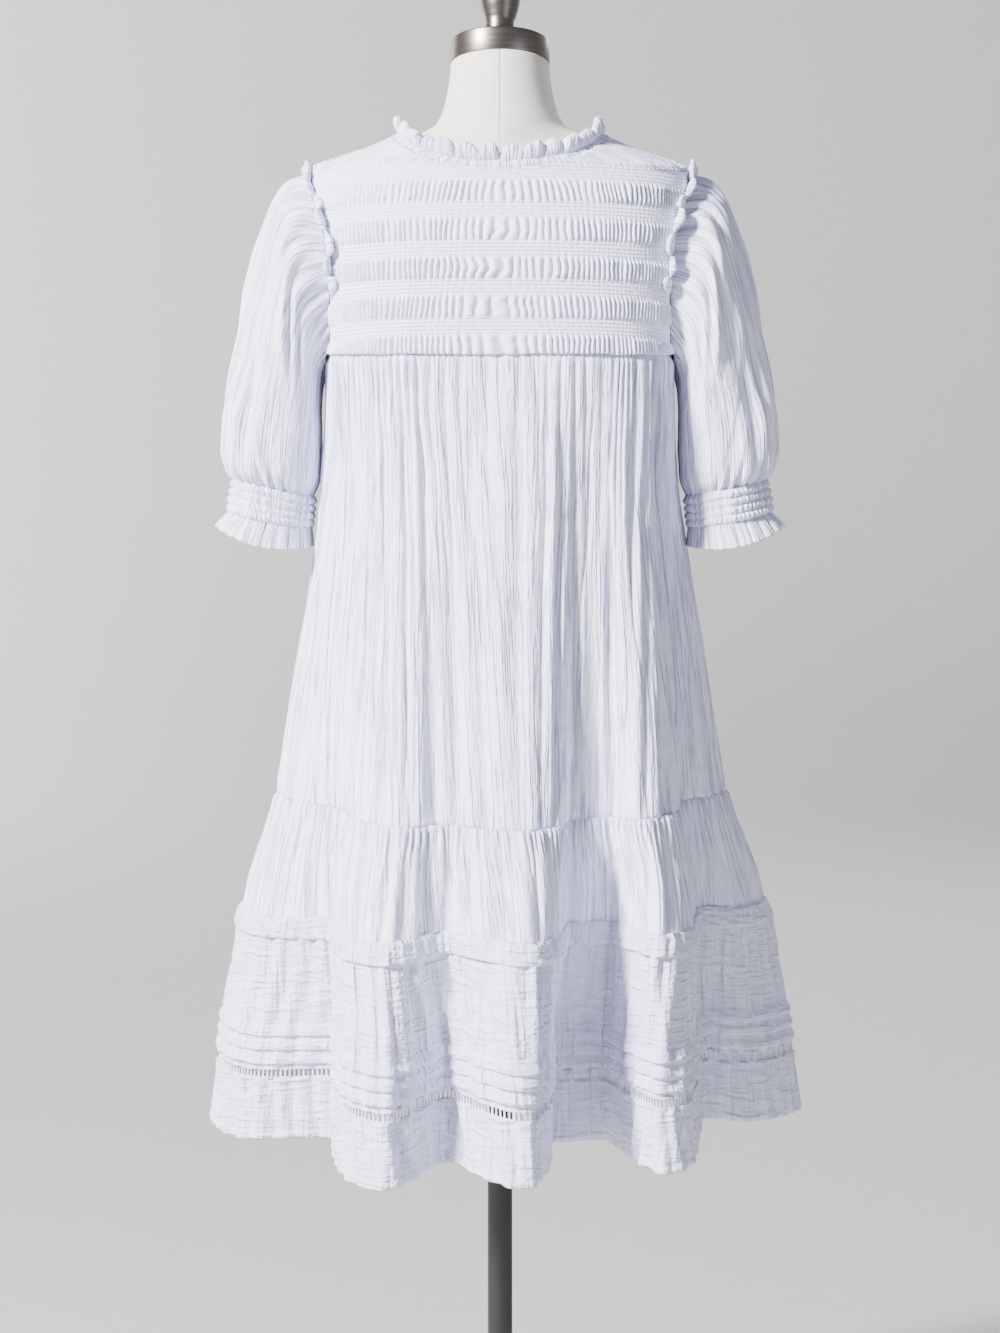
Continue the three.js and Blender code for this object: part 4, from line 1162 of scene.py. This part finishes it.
def long_folds(u, v, seed):
    """Soft upright folds of crinkled gauze: a few broad ones, many narrow ones, and fine crepe."""
    bend = 0.4 * noise(u / 70, v / 150, seed)
    broad = 2.0 * noise(u / 24 + bend, v / 420, seed + 1) + 2.7 * soft_folds(u, v, 19, 480, seed + 6)
    narrow = 2.9 * valleys(u / 13 + bend, v / 300, seed + 2, 0.5)
    thin = 1.3 * valleys(u / 7 + bend, v / 120, seed + 3, 0.5)
    crests = 1.6 * ridges(u / 15 + bend, v / 260, seed + 5)
    return broad + narrow + thin + crests - 3.8


def panel(kind, half, grids, step, material=None):
    """Makes the back or front of a part of the skirt, which hangs from the part above."""
    piece = shell(f"{kind}_{half}_cloth", *grids, step=step)
    dress_piece(piece, f"{kind}_{half}", material=material)


def body(name, half, columns, rows, seed):
    grid, z, share = skirt_grid(half, cloth_top, TIER_SEAM_Z - 1.0, rows, columns)
    u, v = across_cloth(grid, share), YOKE_SEAM_Z - z
    from_top = cloth_top(share) - z
    phase = u / 11.5 + 0.8 * noise(u / 30, v / 500, seed + 8) + 0.18 * noise(u / 12, v / 60, seed + 9)
    pleat = np.abs(np.sin(np.pi * phase)) ** 0.8 * (0.8 + 0.3 * noise(u / 17, v / 300, seed + 7))
    gathered = 4.2 * pleat * (1 - 0.75 * smoothstep(30, 260, from_top))
    relief = (gathered + 0.6) * smoothstep(2, 10, from_top) - 1.4
    relief = relief + (long_folds(u, v, seed) + 0.6) * smoothstep(10, 110, from_top)
    foot = smoothstep(0, 12, z - TIER_SEAM_Z)
    relief = relief * lerp(0.45, 1, foot)
    panel("body", name, raised(grid, relief), 4)


body("back", BACK, 4 * 132 + 1, 4 * 26 + 1, 101)
body("front", FRONT, 4 * 96 + 1, 4 * 20 + 1, 121)


def tier(name, half, columns, rows, seed):
    grid, z, share = skirt_grid(half, TIER_SEAM_Z, TUCK_TOP_Z - 1.0, rows, columns)
    u, v = across_cloth(grid, share), TIER_SEAM_Z - z
    fan = smoothstep(0, 90, v)
    fine = ridges(u / 7 + 0.3 * noise(u / 20, v / 60, seed), v / 60, seed + 1)
    middle = ridges(u / 15 + 0.5 * noise(u / 40, v / 90, seed + 5), v / 160, seed + 2)
    coarse = soft_folds(u, v, 24, 300, seed + 3)
    gathers = np.abs(np.sin(np.pi * (u / 7.5 + 0.5 * noise(u / 20, v / 50, seed + 6)))) ** 0.8
    relief = 3.2 * gathers * (1 - smoothstep(8, 60, v)) + 1.6 * fine * lerp(1, 0.3, fan)
    relief = relief + 2.4 * middle * lerp(0.5, 1, fan) + 3.2 * coarse * lerp(0.35, 1, fan)
    relief = relief + 0.4 * noise(u / 3.5, v / 14, seed + 4) - 1.6
    seam = smoothstep(-1, 5, v)
    relief = relief * seam * lerp(1, 0.55, smoothstep(80, 114, v))
    panel("tier", name, raised(grid, relief - 0.2), 4)


tier("back", BACK, 4 * 150 + 1, 4 * 11 + 1, 141)
tier("front", FRONT, 4 * 110 + 1, 4 * 9 + 1, 161)


# How far the wide tuck and a pin tuck stand out, by the distance below their upper edge
TUCK_DOWN = [-0.7, 0, 3, 12, TUCK_HEIGHT - 1, TUCK_HEIGHT, TUCK_HEIGHT + 0.3]
TUCK_OUT = [0, 0.8, 3.2, 4.3, 4.9, 4.2, 0]
PIN_TUCK_DOWN = [0, 3, 7, 11, 11.9, 12.3, PIN_TUCK_HEIGHT]
PIN_TUCK_OUT = [0.2, 2.2, 3.7, 4.1, 3.4, 0.2, 0.2]


def flounce(name, half, columns, seed):
    """The flounce: a wide tuck over its top, an upright-creased field, and pin tucks at its foot."""
    top, bottom = TUCK_TOP_Z, LADDER_TOP_Z
    key = [top + 0.6]
    key += list(top - np.linspace(0.6, TUCK_HEIGHT - 0.8, 9))
    key += [top - TUCK_HEIGHT, top - TUCK_HEIGHT - 0.3, top - TUCK_HEIGHT - 2]
    key += list(np.linspace(top - TUCK_HEIGHT - 5, PIN_TUCK_TOP_Z + 2, 22))
    for tuck in range(PIN_TUCKS):
        start = PIN_TUCK_TOP_Z - tuck * PIN_TUCK_HEIGHT
        key += [start, start - 2.5, start - 5.5, start - 8.5, start - 10.8, start - 11.8, start - 12.2]
    key += [bottom + 1, bottom - 0.6]
    if len(key) % 2 == 0:
        key.append(bottom - 1.4)
    key = np.array(key)
    levels = (key[0] - key) / (key[0] - key[-1])
    grid, z, share = skirt_grid(half, key[0], key[-1], len(key), columns, levels)
    u, v = across_cloth(grid, share), TUCK_TOP_Z - z
    raised_tuck = np.interp(v, TUCK_DOWN, TUCK_OUT)
    gather = 1.4 * valleys(u / 16 + 0.5 * noise(u / 30, v / 18, seed), v / 26, seed + 1) - 1.2
    gather = gather + 0.6 * noise(u / 8, v / 9, seed + 2) + 1.1 * soft_folds(u, v, 22, 200, seed + 8)
    on_tuck = (v > 0.3) & (v < TUCK_HEIGHT + 0.1)
    w = v - (TUCK_TOP_Z - PIN_TUCK_TOP_Z)
    in_pin = np.mod(w, PIN_TUCK_HEIGHT)
    pin = np.interp(in_pin, PIN_TUCK_DOWN, PIN_TUCK_OUT)
    in_pins = (w > 0) & (w < PIN_TUCKS * PIN_TUCK_HEIGHT)
    creases = 3.3 * soft_folds(u, v, 25, 220, seed + 3) + 2.2 * valleys(u / 14, v / 110, seed + 4)
    creases = creases + 1.1 * valleys(u / 30, v / 13, seed + 5, 0.25)
    creases = creases + 0.8 * noise(u / 9, v / 24, seed + 6) - 2.2
    pin_puff = 1.3 * valleys(u / 18, v / 9, seed + 7) - 1.0
    relief = np.where(on_tuck, raised_tuck + gather * smoothstep(0, 4, v), creases)
    relief = relief + np.where(in_pins, pin * 0.9 + pin_puff - creases * 0.3, 0)
    panel("flounce", name, raised(grid, relief), 2, PUCKERED)


flounce("back", BACK, 2 * 270 + 1, 181)
flounce("front", FRONT, 2 * 190 + 1, 201)


LADDER_HOLE = 2.8
LADDER_BAR = 1.7


def ladder(name, half):
    """The openwork insertion: two rails with upright bars between them."""
    pitch = LADDER_HOLE + LADDER_BAR
    count = int(half.hem_length * 0.93 / pitch)
    share = [0.0]
    for k in range(count):
        share += [(k + LADDER_BAR / pitch) / count, (k + 1) / count]
    share = np.array(share)[None, :]
    top, bottom = LADDER_TOP_Z + 1.2, LADDER_TOP_Z - LADDER_HEIGHT - 1.2
    z = np.array([top, top - 2.9, bottom + 2.7, bottom])[:, None] + 0 * share
    grid = half.grid(z, share + 0 * z)
    grid = grid + normals(grid) * 1.0
    columns = grid.shape[1]
    faces = []
    for i in range(3):
        for j in range(columns - 1):
            if i == 1 and j % 2:
                continue
            a = i * columns + j
            faces.append([a, a + columns, a + columns + 1, a + 1])
    corners = [corner for face in faces for corner in face]
    uvs = [((corner % columns) * 0.002, (corner // columns) * 0.004) for corner in corners]
    smooth = np.ones(len(faces), bool)
    piece = add_mesh(f"ladder_{name}_cloth", grid.reshape(-1, 3), faces, uvs, smooth)
    thicken = piece.modifiers.new("thickness", "SOLIDIFY")
    thicken.thickness = 0.9 * MM
    thicken.offset = 0
    bpy.context.view_layer.objects.active = piece
    bpy.ops.object.modifier_apply(modifier="thickness")
    # The holes take up a third of the strip.
    dress_piece(piece, f"ladder_{name}")


ladder("back", BACK)
ladder("front", FRONT)


def hem(name, half, columns, rows, seed):
    grid, z, share = skirt_grid(half, LADDER_TOP_Z - LADDER_HEIGHT + 0.6, HEM_Z, rows, columns)
    u, v = across_cloth(grid, share), LADDER_TOP_Z - LADDER_HEIGHT - z
    above_edge = z - HEM_Z
    creases = 2.8 * soft_folds(u, v, 24, 90, seed) + 1.8 * valleys(u / 14, v / 40, seed + 1)
    creases = creases + 1.1 * valleys(u / 28, v / 11, seed + 2, 0.25)
    creases = creases + 0.7 * noise(u / 8, v / 14, seed + 3) - 1.9
    stitch = -0.8 * np.exp(-(((above_edge - HEM_FOLD) / 1.0) ** 2))
    folded = 0.7 * (1 - smoothstep(HEM_FOLD - 1, HEM_FOLD + 1, above_edge))
    edge = -0.9 * np.exp(-above_edge / 0.8)
    head = 0.9 * np.exp(-(((v - 1.5) / 1.5) ** 2))
    relief = creases + stitch + folded + edge + head
    panel("hem", name, raised(grid, relief), 2, PUCKERED)


hem("back", BACK, 2 * 250 + 1, 2 * 17 + 1, 221)
hem("front", FRONT, 2 * 180 + 1, 2 * 15 + 1, 241)


# The dress form


def form_torso():
    section, lean = sections(FORM), curve(FORM, "z", "lean")
    columns = 96
    neck = np.linspace(FORM_TOP_Z, FORM_NECK_FOOT_Z, 40)
    trunk = np.linspace(FORM_NECK_FOOT_Z - 4, FORM_FOOT_Z, 110)
    z = np.concatenate([neck, trunk])[:, None]
    at = 360 * np.arange(columns)[None, :] / columns
    grid = section(z + 0 * at, at + 0 * z)
    tilt = np.radians(NECK_TILT) * np.clip((z - NECK_TILT_START_Z) / 40, 0, 1)
    # Seams of the cover: down centre back and front, and round the neck.
    centre = np.minimum(np.abs(np.sin(np.radians(at))) * 60, 20)
    round_neck = np.abs(z - FORM_NECK_SEAM_Z)
    groove = 0.5 * np.exp(-((centre / 0.9) ** 2)) + 0.5 * np.exp(-((round_neck / 1.1) ** 2))
    grid = grid - normals(grid, True) * groove[..., None] * (z > COVER_SEAM_FOOT_Z)[..., None]
    grid[..., 2] -= grid[..., 1] * np.tan(tilt)
    grid[..., 1] += lean(z)
    points = grid.reshape(-1, 3)
    rows = len(z)
    i, j = np.meshgrid(np.arange(rows - 1), np.arange(columns), indexing="ij")
    i, j = i.ravel(), j.ravel()
    corners = [(i, j), (i + 1, j), (i + 1, j + 1), (i, j + 1)]
    faces = np.stack([a * columns + b % columns for a, b in corners], 1)
    column_width = COVER_WIDTH * MM / columns
    uvs = np.stack([np.stack([b * column_width, -a * 0.004], 1) for a, b in corners], 1)
    uvs = uvs.reshape(-1, 2)
    caps = [list(range(columns)), list(range((rows - 1) * columns, rows * columns))[::-1]]
    uvs = np.concatenate([uvs, np.zeros((2 * columns, 2))])
    smooth = np.arange(len(faces) + 2) < len(faces)
    piece = add_mesh("form_torso_cover", points, faces.tolist() + caps, uvs, smooth)
    piece.data.materials.append(LINEN)
    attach(piece, "root")
    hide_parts("form_torso")


form_torso()


EDGE_BEVEL = 0.15
SHARP_EDGE = math.radians(32)


def turned(name, cad_node, profile, material, foot=(0, 0, 0), tilt=0.0, sides=96):
    """A piece turned from a profile of radii and heights, on a point that may be tilted."""
    mesh = bpy.data.meshes.new(name)
    points = [(r * MM, 0, h * MM) for r, h in profile]
    mesh.from_pydata(points, [(k, k + 1) for k in range(len(points) - 1)], [])
    piece = bpy.data.objects.new(name, mesh)
    bpy.context.scene.collection.objects.link(piece)
    bpy.ops.object.select_all(action="DESELECT")
    piece.select_set(True)
    bpy.context.view_layer.objects.active = piece
    turning = piece.modifiers.new("turning", "SCREW")
    turning.steps = turning.render_steps = sides
    turning.use_merge_vertices = True
    turning.merge_threshold = 0.01 * MM
    bpy.ops.object.modifier_apply(modifier="turning")
    bpy.ops.object.mode_set(mode="EDIT")
    bpy.ops.mesh.select_all(action="SELECT")
    bpy.ops.mesh.normals_make_consistent()
    bpy.ops.object.mode_set(mode="OBJECT")
    edges = piece.modifiers.new("edges", "BEVEL")
    edges.width = EDGE_BEVEL * MM
    edges.limit_method = "ANGLE"
    edges.angle_limit = SHARP_EDGE
    bpy.ops.object.modifier_apply(modifier="edges")
    bpy.ops.object.shade_smooth_by_angle(angle=SHARP_EDGE)
    piece.select_set(False)
    place = Matrix.Translation(Vector(foot) * MM)
    mesh.transform(place @ Matrix.Rotation(-math.radians(tilt), 4, "X"))
    mesh.materials.append(material)
    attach(piece, "root")
    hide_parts(cad_node)


def rounded(points, steps=6):
    """A profile whose points are joined by a smooth curve."""
    length = np.concatenate([[0], np.cumsum(np.hypot(*np.diff(np.array(points, float), axis=0).T))])
    values = {"s": length, "r": np.array(points, float)[:, 0], "h": np.array(points, float)[:, 1]}
    s = np.linspace(0, length[-1], steps * len(points))
    return list(zip(curve(values, "s", "r")(s), curve(values, "s", "h")(s)))


def top_edge(radius, height, size, first, count):
    """The rounded upper edge of a profile, from the angle first to level."""
    turn = np.linspace(first, math.pi / 2, count)
    return [(radius - size * (1 - math.cos(a)), height - size * (1 - math.sin(a))) for a in turn]


CAP_RADIUS = 49.5
CAP_HEIGHT = 24
CAP_EDGE = 1.6
SEAT_GAP = 0.3
NECK_TOP = (0, 20, FORM_TOP_Z)
cap = [(0, SEAT_GAP), (CAP_RADIUS - 0.6, SEAT_GAP), (CAP_RADIUS, SEAT_GAP + 0.6)]
cap += [(CAP_RADIUS, CAP_HEIGHT - CAP_EDGE)]
cap += top_edge(CAP_RADIUS, CAP_HEIGHT, CAP_EDGE, 0.3, 5)
cap += [(0, CAP_HEIGHT)]
turned("neck_cap_steel", "neck_cap", cap, GUNMETAL, NECK_TOP, NECK_TILT)
finial_foot = CAP_HEIGHT + SEAT_GAP
stem = [(16, 7), (15.2, 12), (15, 20), (16.5, 27), (19, 36), (20.5, 46), (19.5, 56), (16, 64)]
stem += [(10, 69.5), (5, 71), (0, 71.5)]
finial = [(0, 0), (21.6, 0), (22, 0.4), (22, 3.4), (21.4, 4), (18, 5.2)] + rounded(stem)
finial = [(r, h + finial_foot) for r, h in finial]
turned("finial_steel", "finial", finial, GUNMETAL, NECK_TOP, NECK_TILT)

BASE_RADIUS = 190
BASE_THICKNESS = 14
BASE_EDGE = 5
base = [(0, 0), (BASE_RADIUS - 1, 0), (BASE_RADIUS, 1)]
base += [(BASE_RADIUS, BASE_THICKNESS - BASE_EDGE)]
base += top_edge(BASE_RADIUS, BASE_THICKNESS, BASE_EDGE, 0.2, 7)
base += [(0, BASE_THICKNESS)]
turned("base_steel", "base", base, POWDER, sides=160)
socket_foot = BASE_THICKNESS + SEAT_GAP
SOCKET_HEIGHT = 46
POLE_RADIUS = 12.5
COLLAR_HEIGHT = 14
socket = [(0, 0), (29.4, 0), (30, 0.6), (30, 3.4), (29.4, 4), (23, 8.5), (21, 12)]
socket += [(17.4, 44.6), (16.6, SOCKET_HEIGHT), (0, SOCKET_HEIGHT)]
socket = [(r, h + socket_foot) for r, h in socket]
turned("base_socket_steel", "base_socket", socket, POWDER)
pole_foot = socket_foot + SOCKET_HEIGHT + SEAT_GAP
collar_foot = FORM_FOOT_Z - SEAT_GAP - COLLAR_HEIGHT
pole_top = collar_foot - SEAT_GAP
pole = [(0, pole_foot), (POLE_RADIUS, pole_foot), (POLE_RADIUS, pole_top), (0, pole_top)]
turned("pole_steel", "pole", pole, POWDER)
collar = [(0, 0), (18.2, 0), (18.5, 0.5), (19.5, 6), (29, 8.6), (30, 9.6), (30, 13.4)]
collar += [(29.4, COLLAR_HEIGHT), (0, COLLAR_HEIGHT)]
collar = [(r, h + collar_foot) for r, h in collar]
turned("pole_collar_steel", "pole_collar", collar, POWDER)


def floor():
    """The floor, in metres, which sweeps up all round, well behind every camera."""
    radius = [0.01, 3.0, 7.0, 9.0, 10.2, 11.0, 11.4, 11.5, 11.5]
    height = [0, 0, 0, 0.15, 0.6, 1.4, 2.4, 3.4, 7.0]
    sides = 96
    points, faces = [], []
    for r, h in zip(radius, height):
        for k in range(sides):
            a = 2 * math.pi * k / sides
            points.append((r * math.cos(a) * 1000, r * math.sin(a) * 1000, h * 1000))
    for i in range(len(radius) - 1):
        for k in range(sides):
            n = (k + 1) % sides
            faces.append([i * sides + k, (i + 1) * sides + k, (i + 1) * sides + n, i * sides + n])
    uvs = np.zeros((4 * len(faces), 2))
    piece = add_mesh("floor_sweep", points, faces, uvs, np.ones(len(faces), bool))
    piece.data.materials.append(painted_plaster())


floor()


# Light and camera


def area_light(name, place, aim, size, power, tint):
    data = bpy.data.lights.new(name, "AREA")
    data.shape = "RECTANGLE"
    data.size, data.size_y = size
    data.energy = power
    data.color = tint
    light = bpy.data.objects.new(name, data)
    light.location = place
    light.rotation_euler = (Vector(aim) - Vector(place)).to_track_quat("-Z", "Y").to_euler()
    bpy.context.scene.collection.objects.link(light)


area_light("key", (-4.2, -3.4, 4.1), (0, 0, 1.0), (1.0, 1.2), 2080, (0.97, 0.975, 1))
area_light("fill", (3.6, -3.8, 1.6), (0, 0, 0.9), (2.5, 2.5), 45, (0.7, 0.74, 1))
area_light("rear", (2.4, 4.6, 3.6), (0, 0, 1.0), (2.5, 2.5), 130, (1, 1, 1))
area_light("wall", (-6.2, 6.0, 4.2), (-4.6, 11.0, 0.6), (2.5, 2.5), 1500, (1, 1, 0.99))
world = bpy.data.worlds.new("studio")
bpy.context.scene.world = world
world.use_nodes = True
world.node_tree.nodes["Background"].inputs["Color"].default_value = (0.74, 0.77, 1, 1)
world.node_tree.nodes["Background"].inputs["Strength"].default_value = 0.26

CAMERA_DISTANCE = 3.0
CAMERA_HEIGHT = 1.13
FOCAL_PIXELS = 3000
IMAGE_HEIGHT = 1333
HORIZON_ROW = 475
camera_data = bpy.data.cameras.new("camera")
# The sensor's width lies along the frame's longer side, which is its height.
camera_data.lens = FOCAL_PIXELS / IMAGE_HEIGHT * 36
camera_data.sensor_width = 36
camera = bpy.data.objects.new("camera", camera_data)
camera.location = (0, -CAMERA_DISTANCE, CAMERA_HEIGHT)
tilt = math.atan((IMAGE_HEIGHT / 2 - HORIZON_ROW) / FOCAL_PIXELS)
camera.rotation_euler = (math.pi / 2 - tilt, 0, 0)
bpy.context.scene.collection.objects.link(camera)
bpy.context.scene.camera = camera
